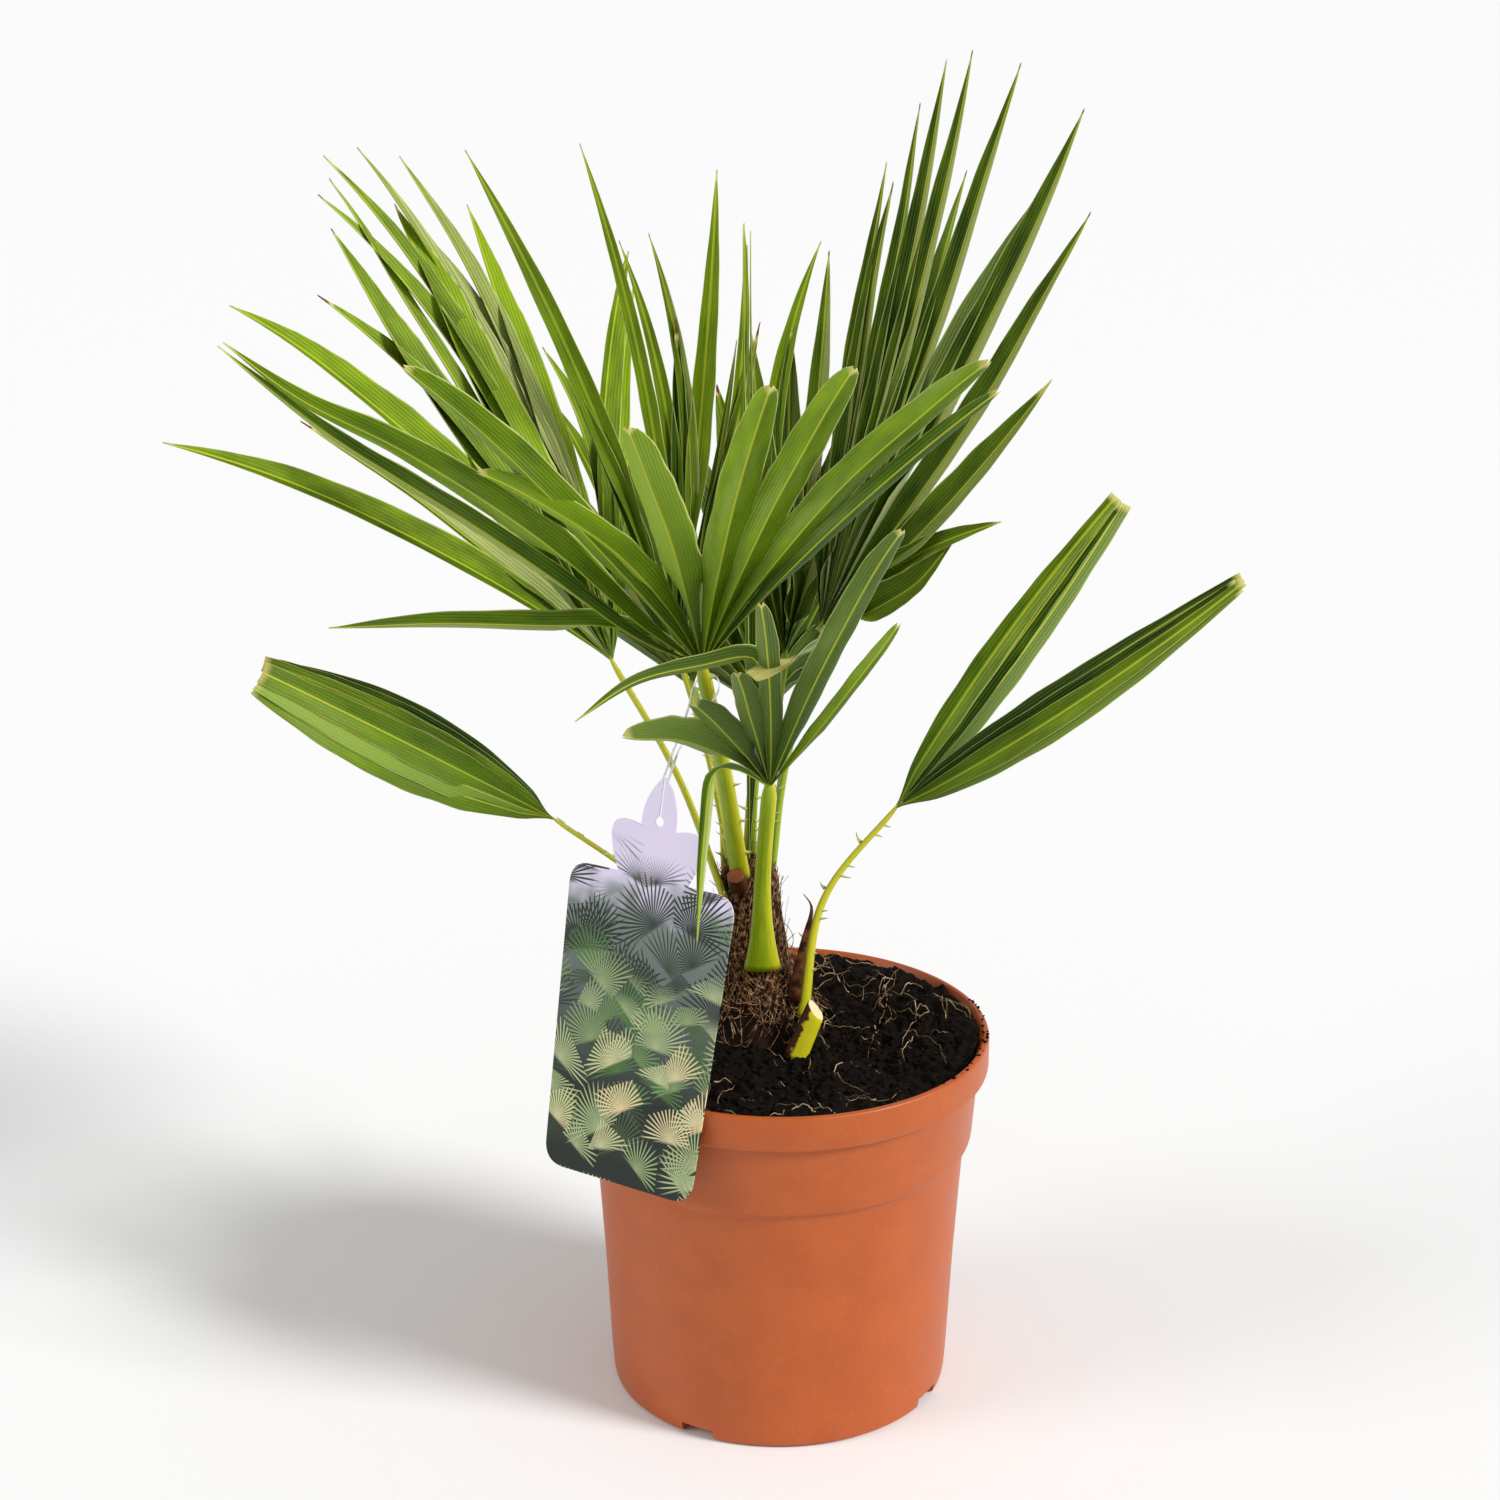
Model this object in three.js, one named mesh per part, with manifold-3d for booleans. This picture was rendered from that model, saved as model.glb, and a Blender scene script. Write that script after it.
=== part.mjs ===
// A young european fan palm in its nursery pot, in millimetres, +Z up.
// The origin is the middle of the pot's flat underside, and -Y is the side the plant is looked at from.
import * as THREE from 'three';
import { mergeVertices } from 'three/addons/utils/BufferGeometryUtils.js';
import Module from 'manifold-3d';

const wasm = await Module();
wasm.setup();

// The clearance that neighbouring pieces keep, and the smallest step that a joined surface keeps.
const GAP = 0.3;
const SIMPLIFY = 0.05;

// The pot: outside radii from the heel up to the lip, and the heights where they change.
const POT = {
  height: 172,
  wall: 2.6,
  floor: 4,
  heelRadius: 74.5,
  footRadius: 77.5,
  bodyRadii: [[78.3, 13], [80.9, 66]],
  bodyTopRadius: 84.8,
  collarRadius: 88,
  collarTopRadius: 90.5,
  lipRadius: 95,
  heelHeight: 3,
  bodyTop: 120,
  collarBottom: 124.5,
  lipBottom: 155.5,
  lipRound: 2,
  lipDepth: 6,
  sides: 40,
};
const NOTCH = { count: 4, first: -29, width: 16, height: 5.5, depth: 9 };

// The soil fills the pot to a little below the lip, and stands clear of its leaning wall.
const SOIL = { top: 166, clearance: 0.45 };

// The stem: a root crown that flares into the soil, and a short fibre-clad trunk that leans left.
const TRUNK = {
  sides: 14,
  rings: [
    { height: SOIL.top + GAP, radius: 31, x: -9, y: 19 },
    { height: 172, radius: 28, x: -9, y: 19 },
    { height: 179, radius: 24, x: -10, y: 19.5 },
    { height: 188, radius: 19, x: -10, y: 20 },
    { height: 199, radius: 15.5, x: -11, y: 20 },
    { height: 220, radius: 12.7, x: -12, y: 20 },
    { height: 243, radius: 13, x: -14, y: 20 },
  ],
};

// A stalk is an oval tapering limb from its foot on the trunk to the hub of its blade.
const STALK = { sides: 8, steps: 7, depthShare: 0.68, footDepthShare: 0.25, hubClearance: 3.6 };
const SPINE = {
  sides: 3,
  radius: 0.9,
  lengths: [3, 5, 4],
  sink: 0.8,
  upwards: 0.35,
  firstShare: 0.16,
  lastShare: 0.86,
};

// A leaflet is a blade folded in a V along its rib. It fuses with its neighbours near the hub.
const LEAFLET = {
  stations: [0, 0.18, 0.4, 0.7, 1],
  thicknessShare: 0.0105,
  leastThickness: 1,
  tipThickness: 0.5,
  hubStart: 2.5,
  hubRadius: 3.1,
  widestShare: 0.34,
  pointedPower: 1.7,
  bluntPower: 4,
  baseWidth: 0.9,
  tipWidth: 0.3,
  cutWidthShare: 0.8,
  overlap: 1.12,
  mostHalfStep: 5.5,
  leastHalfStep: 2,
};

// The fronds. hub is where the leaflets meet, axis the azimuth and elevation of the blade's middle,
// cup the angle that the leaflets rise towards the blade's upper side, droop their sag at the tip as a
// share of their length, bow how far they all swing aside on the way, and spread how far each one swings
// away from the middle. A leaflet is its bearing across the blade in degrees, its length, its share of
// the blade's leaflet width where that isn't 1, and its own swing where it has one.
const FRONDS = {
  left: {
    hub: [-74, 5, 345],
    foot: [-22, 14, 221],
    via: [-45, 9, 289],
    stalkWidths: [10, 5],
    spines: 9,
    axis: [150, 56],
    cup: 8,
    droop: 0.17,
    bow: 0,
    spread: 0,
    width: 9,
    fold: 36,
    leaflets: [
      [-47, 277, 1.05, -0.01], [-35, 210, 0.87, -0.08], [-28.5, 266, 1.25, 0.09], [-17.5, 236, 1.1, 0.16],
      [-9.7, 258, 1.5, -0.22], [-8.2, 276, 1, 0.21], [-5.6, 281, 0.65, -0.08], [-4.6, 293, 0.95, 0.17],
      [0, 292, 0.8, 0.16], [1.8, 260, 1.8, -0.15], [3.8, 249, 1.1, 0.1], [5.3, 285, 1, 0.14],
      [12.4, 257, 1.35, -0.04], [19.7, 178, 1.05, 0.29], [36.7, 264, 0.95, -0.16], [37.5, 244, 0.6, -0.05],
    ],
  },
  front: {
    hub: [-34, -30, 353],
    foot: [-18, 7, 243.6],
    via: [-25, -12, 299],
    stalkWidths: [10, 7],
    spines: 11,
    axis: [262, 60],
    cup: -4,
    droop: 0.08,
    bow: 0,
    spread: 0.2,
    width: 10.5,
    fold: 24,
    blunt: true,
    leaflets: [
      [-32.6, 241, 0.45, 0.03], [-30, 253, 0.75, 0.09], [-20, 224, 0.82, 0.03], [-12.7, 201, 0.86, 0.04],
      [5, 166, 0.95, -0.06], [25, 227, 0.87, -0.03], [29.3, 158, 0.76, -0.33],
    ],
  },
  right: {
    hub: [18, 25, 355],
    foot: [-4, 19, 243.6],
    via: [1.5, 21, 289],
    stalkWidths: [8, 6],
    spines: 10,
    axis: [52, 64],
    cup: 8,
    droop: 0.06,
    bow: 0.08,
    spread: 0.5,
    width: 9.5,
    fold: 34,
    leaflets: [
      [-7, 90, 0.7, 0], [-4.2, 219, 0.5, -0.04], [-3, 210, 0.65, -0.02], [-1, 247, 0.55, 0.06],
      [1, 268, 0.72, 0.08], [3.5, 274, 0.72, 0.1], [7, 220, 0.65, 0.08], [9, 273, 0.72, 0.09],
      [17.2, 217, 0.92, 0], [17.8, 264, 1, 0.12], [24.5, 227, 0.78, 0.16], [35.6, 161, 0.92, 0.17],
      [50, 81, 0.93, 0.47], [52.7, 107, 0.66, -0.19],
    ],
  },
  low: {
    hub: [-5, -25, 297],
    foot: [-8, 2, 200.5],
    via: [-8, -8, 247],
    stalkWidths: [17, 7],
    spines: 0,
    axis: [268, 60],
    cup: -4,
    droop: 0.1,
    bow: 0,
    spread: 0,
    width: 8.5,
    fold: 24,
    blunt: true,
    leaflets: [
      [-21.6, 146, 0.42, -0.11], [-15, 208, 0.8, 0.02], [0.6, 146, 0.64, -0.05], [7.3, 95, 0.76, 0.02],
      [24, 77, 0.92, -0.03], [51.4, 79, 1.3, -0.4],
    ],
  },
  rear: {
    hub: [2, 30, 340],
    foot: [-7, 27.5, 243.6],
    via: [-4, 30, 290],
    stalkWidths: [6, 4.6],
    spines: 0,
    axis: [80, 66],
    cup: 6,
    droop: 0.04,
    bow: 0,
    spread: 0.2,
    width: 9.5,
    fold: 30,
    leaflets: [
      [-26, 110], [-17, 130], [-9, 150], [-2, 150], [1.8, 192, 0.62, -0.29], [3, 188, 0.66, 0.05],
      [11, 112], [17.6, 53, 0.8, -0.11],
    ],
  },
  upright: {
    hub: [-46, 20, 346],
    foot: [-22.5, 20, 243.6],
    via: [-32, 20, 295],
    stalkWidths: [6, 4.6],
    spines: 6,
    axis: [95, 80],
    cup: 6,
    droop: 0.05,
    bow: 0,
    spread: -0.5,
    width: 8.5,
    fold: 30,
    leaflets: [
      [-20.8, 246, 0.7, 0.1], [-19.8, 140, 0.55, 0.08], [-9.5, 235, 0.5, 0.13], [-6.9, 190, 0.5, 0.21],
      [-3, 192, 0.5, 0.24], [0.5, 153, 0.62, 0.05], [5.2, 220, 0.7, 0.04], [9, 198, 0.45, 0.21],
      [11, 146, 0.3, 0.07], [14.1, 156, 0.55, 0.05],
    ],
  },
  back: {
    hub: [-6, 66, 302],
    foot: [-14, 31.5, 238],
    via: [-12, 43, 274],
    stalkWidths: [6.5, 4.6],
    spines: 7,
    axis: [89, 31],
    cup: 6,
    droop: 0.12,
    bow: 0,
    spread: 0.2,
    width: 8.5,
    fold: 36,
    leaflets: [
      [-48, 130], [-38, 150], [-29, 165], [-20, 175], [-11, 178], [-3, 180], [5, 172], [12, 150], [19, 105],
      [27, 80], [36, 60],
    ],
  },
  back_left: {
    hub: [-40, 58, 316],
    foot: [-24, 28, 236],
    via: [-27, 38, 276],
    stalkWidths: [6.5, 4.6],
    spines: 7,
    axis: [128, 36],
    cup: 6,
    droop: 0.1,
    bow: 0,
    spread: 0.2,
    width: 8.5,
    fold: 36,
    leaflets: [
      [-30, 150], [-21, 168], [-12, 180], [-3, 188], [6, 185], [15, 176], [24, 160], [33, 140],
    ],
  },
};

// Leaflets that bend on the way, each along a few points from its own hub.
const BENT_LEAFLETS = {
  front: [
    {
      halfWidth: 10,
      fold: 24,
      route: [
        [-58, -43, 374], [-91, -66, 412], [-114, -79, 434], [-151, -99, 464], [-186, -117, 488],
        [-212, -132, 513],
      ],
    },
    {
      halfWidth: 6.5,
      fold: 30,
      route: [
        [-60, -40, 368], [-100, -59, 404], [-131, -75, 431], [-153, -87, 449], [-177, -103, 470],
        [-214, -133, 512],
      ],
    },
    {
      halfWidth: 7.2,
      fold: 26,
      route: [[-54, -35, 368], [-77, -39, 374], [-98, -42, 375], [-145, -43, 376], [-191, -39, 373]],
    },
  ],
  low: [
    {
      halfWidth: 6.5,
      fold: 20,
      route: [[-9, -55, 345], [-13, -77, 372], [-34, -84, 371], [-59, -88, 365], [-85, -92, 349]],
    },
    { halfWidth: 3, fold: 25, route: [[-20, -45, 312], [-29, -62, 316], [-33, -73, 290], [-36, -76, 245]] },
  ],
  right: [{ halfWidth: 3.6, fold: 20, cut: true, route: [[8, 11, 349], [-2, 4, 343], [-9, 0, 339]] }],
};

// Blades that are still folded up like a closed fan and were cut straight across at the end.
// direction is an azimuth and an elevation, roll turns the flat of the blade about its own line, sag is
// how far the end hangs down as a share of the length, and halfWidths are those of the swell and the end.
// A skew over 1 moves the swell from the middle towards the end.
const FOLDED_BLADES = {
  cut_right: [
    { direction: [22, 51.5], roll: 58, sag: 0.02, length: 173, skew: 1.15, halfWidths: [9, 3.3], pleats: 2 },
    { direction: [-20, 35], roll: 83, sag: -0.1, length: 188, skew: 1.15, halfWidths: [9.6, 2.4], pleats: 2 },
  ],
  cut_left: [
    {
      direction: [-164, 31.6],
      roll: -78,
      sag: -0.01,
      length: 149,
      skew: 1.45,
      halfWidths: [16.8, 8.2],
      pleats: 3,
    },
  ],
};
const FOLDED = {
  thickness: 2.2,
  pleatRise: 3.2,
  fullRiseWidth: 8,
  hubWidth: 2.2,
  swellPower: 0.8,
  stations: [0, 0.1, 0.25, 0.42, 0.6, 0.8, 1],
};
const CUT_STALKS = {
  cut_right: {
    hub: [51, 10, 274],
    foot: [9.7, 3, 176],
    via: [19.4, 8, 231.7],
    stalkWidths: [7.2, 3.4],
    round: true,
    spines: 8,
  },
  cut_left: {
    hub: [-99, -10, 276],
    foot: [-25.6, 14, 204],
    via: [-62, 3, 243],
    stalkWidths: [6, 3.8],
    spines: 5,
  },
};

// The spear: the youngest blade, still closed, in the middle of the crown.
const SPEAR = {
  foot: [-14, 20, 243.6],
  direction: [175, 89.5],
  roll: 0,
  length: 289.5,
  sag: 0,
  skew: 1.15,
  halfWidths: [5, 0.6],
  pleats: 2,
};

// The leavings of older fronds.
const STUMP = { foot: [7.2, -14.5, 166.4], top: [16, -11, 185.5], radii: [5.4, 4.8], flatten: 0.75 };
const SCAR = { foot: [-18.5, 8, 238], top: [-20.2, -1, 246], radii: [4.4, 3.8], flatten: 0.9 };
const SHEATH = {
  foot: [6.5, 2, 188],
  bend: [11, 3, 214],
  top: [14.3, 4, 229.5],
  halfWidths: [2, 0.8],
  thickness: 1.2,
};
// Roughly the way that the depth of a short limb points.
const LIMB_DEPTH = [0, 1, 0.3];

// The hanging label leans on the lip: yaw turns it to the left, tilt leans its top back.
const LABEL = {
  yaw: 33,
  tilt: 13,
  thickness: 0.8,
  centre: -17.8,
  bottom: -38.2,
  shoulder: 97.2,
  halfWidths: [39, 42.6],
  bottomCorner: 11,
  topCorner: 10,
  neckHalfWidth: 18,
  sideLobeTop: 126,
  sideLobeOuter: 33,
  notchHeight: 119,
  lobeTop: 141.5,
  lobeHalfWidth: 9,
  lobeBulge: 1,
  holeHeight: 122,
  holeRadius: 2.2,
  curveSteps: 6,
};

// The strap leaves the middle lobe as two close bands, which part to loop round the front stalk.
const STRAP = {
  width: 3,
  thickness: 0.7,
  anchorDrop: 3,
  height: 342,
  loopRadius: 6.4,
  loopCorner: 0.7,
  spread: 1.4,
  bow: 11,
  bowShare: 0.3,
  openShare: 0.6,
  steps: 30,
};

const FINISHES = {
  pot: { color: '#c9743f', roughness: 0.55 },
  soil: { color: '#241a14', roughness: 1 },
  trunk: { color: '#6b4a2c', roughness: 0.95 },
  stalk: { color: '#a9c42a', roughness: 0.5 },
  blade: { color: '#5e8a1e', roughness: 0.5 },
  sheath: { color: '#7a5134', roughness: 0.9 },
  label: { color: '#e6dcf2', roughness: 0.4 },
};

const root = new THREE.Group();

// Adds one named mesh with its own finish.
function place(name, geometry, finish) {
  const mesh = new THREE.Mesh(geometry, new THREE.MeshStandardMaterial({ ...finish, metalness: 0 }));
  mesh.name = name;
  root.add(mesh);
}

const vector = (list) => new THREE.Vector3(list[0], list[1], list[2]);
const radians = THREE.MathUtils.degToRad;

// The unit vector of an azimuth from +X towards +Y and an elevation, both in degrees.
function direction(azimuth, elevation) {
  const level = Math.cos(radians(elevation));
  return new THREE.Vector3(
    level * Math.cos(radians(azimuth)),
    level * Math.sin(radians(azimuth)),
    Math.sin(radians(elevation)),
  );
}

// A solid from a geometry, with its shared corners merged and its faces turned outwards.
function toSolid(geometry) {
  const bare = geometry.clone();
  bare.deleteAttribute('normal');
  bare.deleteAttribute('uv');
  const merged = mergeVertices(bare, 1e-4);
  const triVerts = new Uint32Array(merged.index.array);
  const vertProperties = new Float32Array(merged.attributes.position.array);
  const solid = new wasm.Manifold(new wasm.Mesh({ numProp: 3, vertProperties, triVerts }));
  if (solid.volume() > 0) return solid;
  for (let i = 0; i < triVerts.length; i += 3) {
    [triVerts[i + 1], triVerts[i + 2]] = [triVerts[i + 2], triVerts[i + 1]];
  }
  return new wasm.Manifold(new wasm.Mesh({ numProp: 3, vertProperties, triVerts }));
}

// A geometry from a solid. Loose scraps that a cut leaves are dropped.
function toGeometry(solid) {
  const bodies = solid.decompose().sort((a, b) => b.volume() - a.volume());
  const mesh = bodies[0].simplify(SIMPLIFY).getMesh();
  const corners = new THREE.BufferAttribute(new Float32Array(mesh.vertProperties), mesh.numProp);
  const geometry = new THREE.BufferGeometry();
  geometry.setAttribute('position', corners);
  geometry.setIndex(new THREE.BufferAttribute(new Uint32Array(mesh.triVerts), 1));
  geometry.computeVertexNormals();
  return geometry;
}

// Joins rings of equally many points into a closed skin. caps lists the triangles of an end ring.
function loft(rings, caps) {
  const count = rings[0].length;
  const positions = rings.flat().flatMap((point) => [point.x, point.y, point.z]);
  const index = [];
  for (let ring = 0; ring + 1 < rings.length; ring += 1) {
    for (let i = 0; i < count; i += 1) {
      const a = ring * count + i;
      const b = ring * count + ((i + 1) % count);
      index.push(a, b, b + count, a, b + count, a + count);
    }
  }
  const last = (rings.length - 1) * count;
  for (const [a, b, c] of caps) {
    index.push(c, b, a);
    index.push(last + a, last + b, last + c);
  }
  const geometry = new THREE.BufferGeometry();
  geometry.setAttribute('position', new THREE.Float32BufferAttribute(positions, 3));
  geometry.setIndex(index);
  return toSolid(geometry);
}

// The end triangles of a ring that bulges all round.
const roundCaps = (count) => Array.from({ length: count - 2 }, (_, i) => [0, i + 1, i + 2]);

// The end triangles of a pleated ring, whose upper line runs there and whose lower line runs back.
function pleatedCaps(lineCount) {
  const lower = (i) => (i === 0 || i === lineCount - 1 ? i : 2 * lineCount - 2 - i);
  const caps = [];
  for (let i = 0; i + 1 < lineCount; i += 1) {
    if (lower(i + 1) !== i + 1) caps.push([i, i + 1, lower(i + 1)]);
    if (lower(i) !== i) caps.push([i, lower(i + 1), lower(i)]);
  }
  return caps;
}

// A ring across a pleated blade: 2 flanks to a pleat, edges up and ribs down.
function pleatedRing(centre, across, up, halfWidth, rise, thickness, pleats) {
  const lineCount = 2 * pleats + 1;
  const at = (i, lift) => {
    const share = (2 * i) / (lineCount - 1) - 1;
    const height = (i % 2 === 0 ? rise : 0) + lift;
    return centre.clone().addScaledVector(across, share * halfWidth).addScaledVector(up, height);
  };
  const inner = Array.from({ length: lineCount - 2 }, (_, i) => i + 1);
  return [
    at(0, 0),
    ...inner.map((i) => at(i, thickness / 2)),
    at(lineCount - 1, 0),
    ...inner.reverse().map((i) => at(i, -thickness / 2)),
  ];
}

// The three directions of a blade: along its middle, across it, and out of its upper side.
function bladeFrame(azimuth, elevation, roll = 0) {
  const axis = direction(azimuth, elevation);
  const side = new THREE.Vector3().crossVectors(axis, new THREE.Vector3(0, 0, 1)).normalize();
  side.applyAxisAngle(axis, radians(roll));
  const face = new THREE.Vector3().crossVectors(side, axis);
  return { axis, side, face };
}

// How wide a flank is at a share of the leaflet's length, for a pointed or a blunt tip.
function flankWidth(share, halfWidth, blunt) {
  if (share < LEAFLET.widestShare) {
    return halfWidth * Math.sin((Math.PI / 2) * (share / LEAFLET.widestShare));
  }
  const toTip = (share - LEAFLET.widestShare) / (1 - LEAFLET.widestShare);
  const taper = blunt ? Math.sqrt(1 - toTip ** LEAFLET.bluntPower) : 1 - toTip ** LEAFLET.pointedPower;
  return halfWidth * taper;
}

// One leaflet along a curve. halfStep is half the angle to its neighbours, which it fuses with.
function leafletSolid(curve, length, faceHint, form) {
  const rings = LEAFLET.stations.map((share) => {
    const centre = curve.getPoint(share);
    const tangent = curve.getTangent(share);
    const across = new THREE.Vector3().crossVectors(tangent, faceHint).normalize();
    const up = new THREE.Vector3().crossVectors(across, tangent);
    const nearHub = share < LEAFLET.widestShare;
    const fused = Math.tan(radians(form.halfStep)) * (share * length + LEAFLET.hubStart) * LEAFLET.overlap;
    const free = flankWidth(share, form.halfWidth, form.blunt) * Math.cos(radians(form.fold));
    const ending = form.cut ? form.halfWidth * LEAFLET.cutWidthShare : LEAFLET.tipWidth;
    const wished = nearHub ? Math.min(fused, form.halfWidth) : free;
    const lateral = Math.max(wished, nearHub ? LEAFLET.baseWidth : ending);
    const thickness = share === 1
      ? LEAFLET.tipThickness
      : Math.max(length * LEAFLET.thicknessShare, LEAFLET.leastThickness);
    return pleatedRing(centre, across, up, lateral, lateral * Math.tan(radians(form.fold)), thickness, 1);
  });
  return loft(rings, pleatedCaps(3));
}

// The line of a leaflet from its hub: it sags at the tip, and bows to its side on the way.
class LeafletLine extends THREE.Curve {
  constructor(start, heading, length, droop, bow = new THREE.Vector3()) {
    super();
    Object.assign(this, { start, heading, length, droop, bow });
  }

  getPoint(share, target = new THREE.Vector3()) {
    target.copy(this.start).addScaledVector(this.heading, share * this.length);
    target.addScaledVector(this.bow, share * (1 - share) * this.length);
    target.z -= this.droop * this.length * share * share;
    return target;
  }
}

// Half the mean angle between a leaflet and its neighbours, within the limits of a fan.
function halfStep(bearings, i) {
  const before = bearings[Math.max(i - 1, 0)];
  const after = bearings[Math.min(i + 1, bearings.length - 1)];
  const spans = Math.min(i, 1) + Math.min(bearings.length - 1 - i, 1);
  const mean = (after - before) / spans / 2;
  return THREE.MathUtils.clamp(mean, LEAFLET.leastHalfStep, LEAFLET.mostHalfStep);
}

// The blade of an open frond: its leaflets fused round a small core at the hub.
function bladeSolid(name, frond) {
  const hub = vector(frond.hub);
  const { axis, side, face } = bladeFrame(...frond.axis);
  const bearings = frond.leaflets.map(([bearing]) => bearing);
  const pieces = frond.leaflets.map(([bearing, length, widthShare = 1, swing], i) => {
    const [cos, sin] = [Math.cos(radians(bearing)), Math.sin(radians(bearing))];
    const flat = axis.clone().multiplyScalar(cos).addScaledVector(side, sin);
    const beside = axis.clone().multiplyScalar(-sin).addScaledVector(side, cos);
    const heading = flat.multiplyScalar(Math.cos(radians(frond.cup)));
    heading.addScaledVector(face, Math.sin(radians(frond.cup)));
    const bow = beside.multiplyScalar(swing ?? frond.bow + frond.spread * sin);
    const curve = new LeafletLine(hub, heading, length, frond.droop, bow);
    const halfWidth = frond.width * widthShare;
    const form = { halfStep: halfStep(bearings, i), halfWidth, fold: frond.fold, blunt: frond.blunt };
    return leafletSolid(curve, length, face, form);
  });
  for (const bent of BENT_LEAFLETS[name] ?? []) {
    const curve = new THREE.CatmullRomCurve3([hub, ...bent.route.map(vector)]);
    const form = { ...bent, halfStep: LEAFLET.leastHalfStep, blunt: false };
    pieces.push(leafletSolid(curve, curve.getLength(), face, form));
  }
  pieces.push(toSolid(new THREE.IcosahedronGeometry(LEAFLET.hubRadius, 1).translate(hub.x, hub.y, hub.z)));
  return wasm.Manifold.union(pieces);
}

// A blade that is still closed: one pleated strip that swells in the middle.
function foldedBladeSolid(hub, form) {
  const { axis, side, face } = bladeFrame(...form.direction, form.roll);
  const [widest, atEnd] = form.halfWidths;
  const curve = new LeafletLine(hub, axis, form.length, form.sag);
  const rings = FOLDED.stations.map((share) => {
    const swell = Math.max(Math.sin(Math.PI * share ** form.skew), 0) ** FOLDED.swellPower;
    const narrow = THREE.MathUtils.lerp(FOLDED.hubWidth, atEnd, share);
    const lateral = narrow + (widest - narrow) * swell;
    const rise = FOLDED.pleatRise * Math.min(lateral / widest, lateral / FOLDED.fullRiseWidth);
    return pleatedRing(curve.getPoint(share), side, face, lateral, rise, FOLDED.thickness, form.pleats);
  });
  return loft(rings, pleatedCaps(2 * form.pleats + 1));
}

// An oval ring round a point of a limb.
function ovalRing(centre, across, depth, halfWidth, halfDepth, sides) {
  return Array.from({ length: sides }, (_, i) => {
    const angle = (2 * Math.PI * i) / sides;
    return centre
      .clone()
      .addScaledVector(across, Math.cos(angle) * halfWidth)
      .addScaledVector(depth, Math.sin(angle) * halfDepth);
  });
}

// The line of a stalk, which stops just short of its blade's hub.
function stalkCurve(stalk) {
  const foot = vector(stalk.foot);
  const via = vector(stalk.via);
  const hub = vector(stalk.hub);
  const end = hub.clone().sub(via).setLength(STALK.hubClearance);
  return new THREE.CatmullRomCurve3([foot, via, hub.sub(end)]);
}

// The side and the depth direction of a limb at a share of its length.
function limbFrame(curve, share) {
  const tangent = curve.getTangent(share);
  const outward = curve.getPoint(1).sub(vector([TRUNK.rings[0].x, TRUNK.rings[0].y, 0])).setZ(0);
  const across = new THREE.Vector3().crossVectors(tangent, outward).normalize();
  const depth = new THREE.Vector3().crossVectors(tangent, across).normalize();
  return { tangent, across, depth };
}

// A stalk with its thorns: wide and flat at the foot, narrow at the hub.
function stalkSolid(stalk, swell = 0) {
  const curve = stalkCurve(stalk);
  const [footWidth, tipWidth] = stalk.stalkWidths;
  const halfWidthAt = (share) => (tipWidth + (footWidth - tipWidth) * (1 - share) ** 2) / 2 + swell;
  const rings = Array.from({ length: STALK.steps + 1 }, (_, i) => {
    const share = i / STALK.steps;
    const { across, depth } = limbFrame(curve, share);
    const halfWidth = halfWidthAt(share);
    const widening = (halfWidth - tipWidth / 2) * STALK.footDepthShare;
    const halfDepth = stalk.round ? halfWidth : (tipWidth * STALK.depthShare) / 2 + widening + swell;
    return ovalRing(curve.getPoint(share), across, depth, halfWidth, halfDepth, STALK.sides);
  });
  const pieces = [loft(rings, roundCaps(STALK.sides))];
  for (let i = 0; i < stalk.spines; i += 1) {
    const share = THREE.MathUtils.lerp(SPINE.firstShare, SPINE.lastShare, i / (stalk.spines - 1));
    const length = SPINE.lengths[i % SPINE.lengths.length];
    pieces.push(spineSolid(curve, share, i % 2 === 0 ? 1 : -1, halfWidthAt(share), length));
  }
  return wasm.Manifold.union(pieces);
}

// One thorn: a slim cone on the edge of a stalk that points outwards and a little upwards.
function spineSolid(curve, share, turn, halfWidth, length) {
  const { tangent, across } = limbFrame(curve, share);
  const outward = across.clone().multiplyScalar(turn);
  const heading = outward.clone().addScaledVector(tangent, SPINE.upwards).normalize();
  const foot = curve.getPoint(share).addScaledVector(outward, halfWidth - SPINE.sink);
  const cone = new THREE.ConeGeometry(SPINE.radius, length + SPINE.sink, SPINE.sides);
  cone.translate(0, (length + SPINE.sink) / 2, 0);
  cone.applyQuaternion(new THREE.Quaternion().setFromUnitVectors(new THREE.Vector3(0, 1, 0), heading));
  cone.translate(foot.x, foot.y, foot.z);
  return toSolid(cone);
}

// The trunk, or the same trunk grown all round to trim what stands against it.
function trunkSolid(grow = 0) {
  const top = TRUNK.rings.length - 1;
  const rings = TRUNK.rings.map(({ height, radius, x, y }, i) => {
    const end = i === top ? grow : 0;
    const centre = new THREE.Vector3(x, y, height + end);
    const east = new THREE.Vector3(1, 0, 0);
    const north = new THREE.Vector3(0, 1, 0);
    return ovalRing(centre, east, north, radius + grow, radius + grow, TRUNK.sides);
  });
  return loft(rings, roundCaps(TRUNK.sides));
}

// A short oval limb between two points.
function shortLimb({ foot, top, radii, flatten }) {
  const curve = new THREE.LineCurve3(vector(foot), vector(top));
  const tangent = curve.getTangent(0);
  const across = new THREE.Vector3().crossVectors(tangent, vector(LIMB_DEPTH)).normalize();
  const depth = new THREE.Vector3().crossVectors(tangent, across);
  const rings = radii.map((radius, i) =>
    ovalRing(curve.getPoint(i), across, depth, radius, radius * flatten, STALK.sides));
  return loft(rings, roundCaps(STALK.sides));
}

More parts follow.
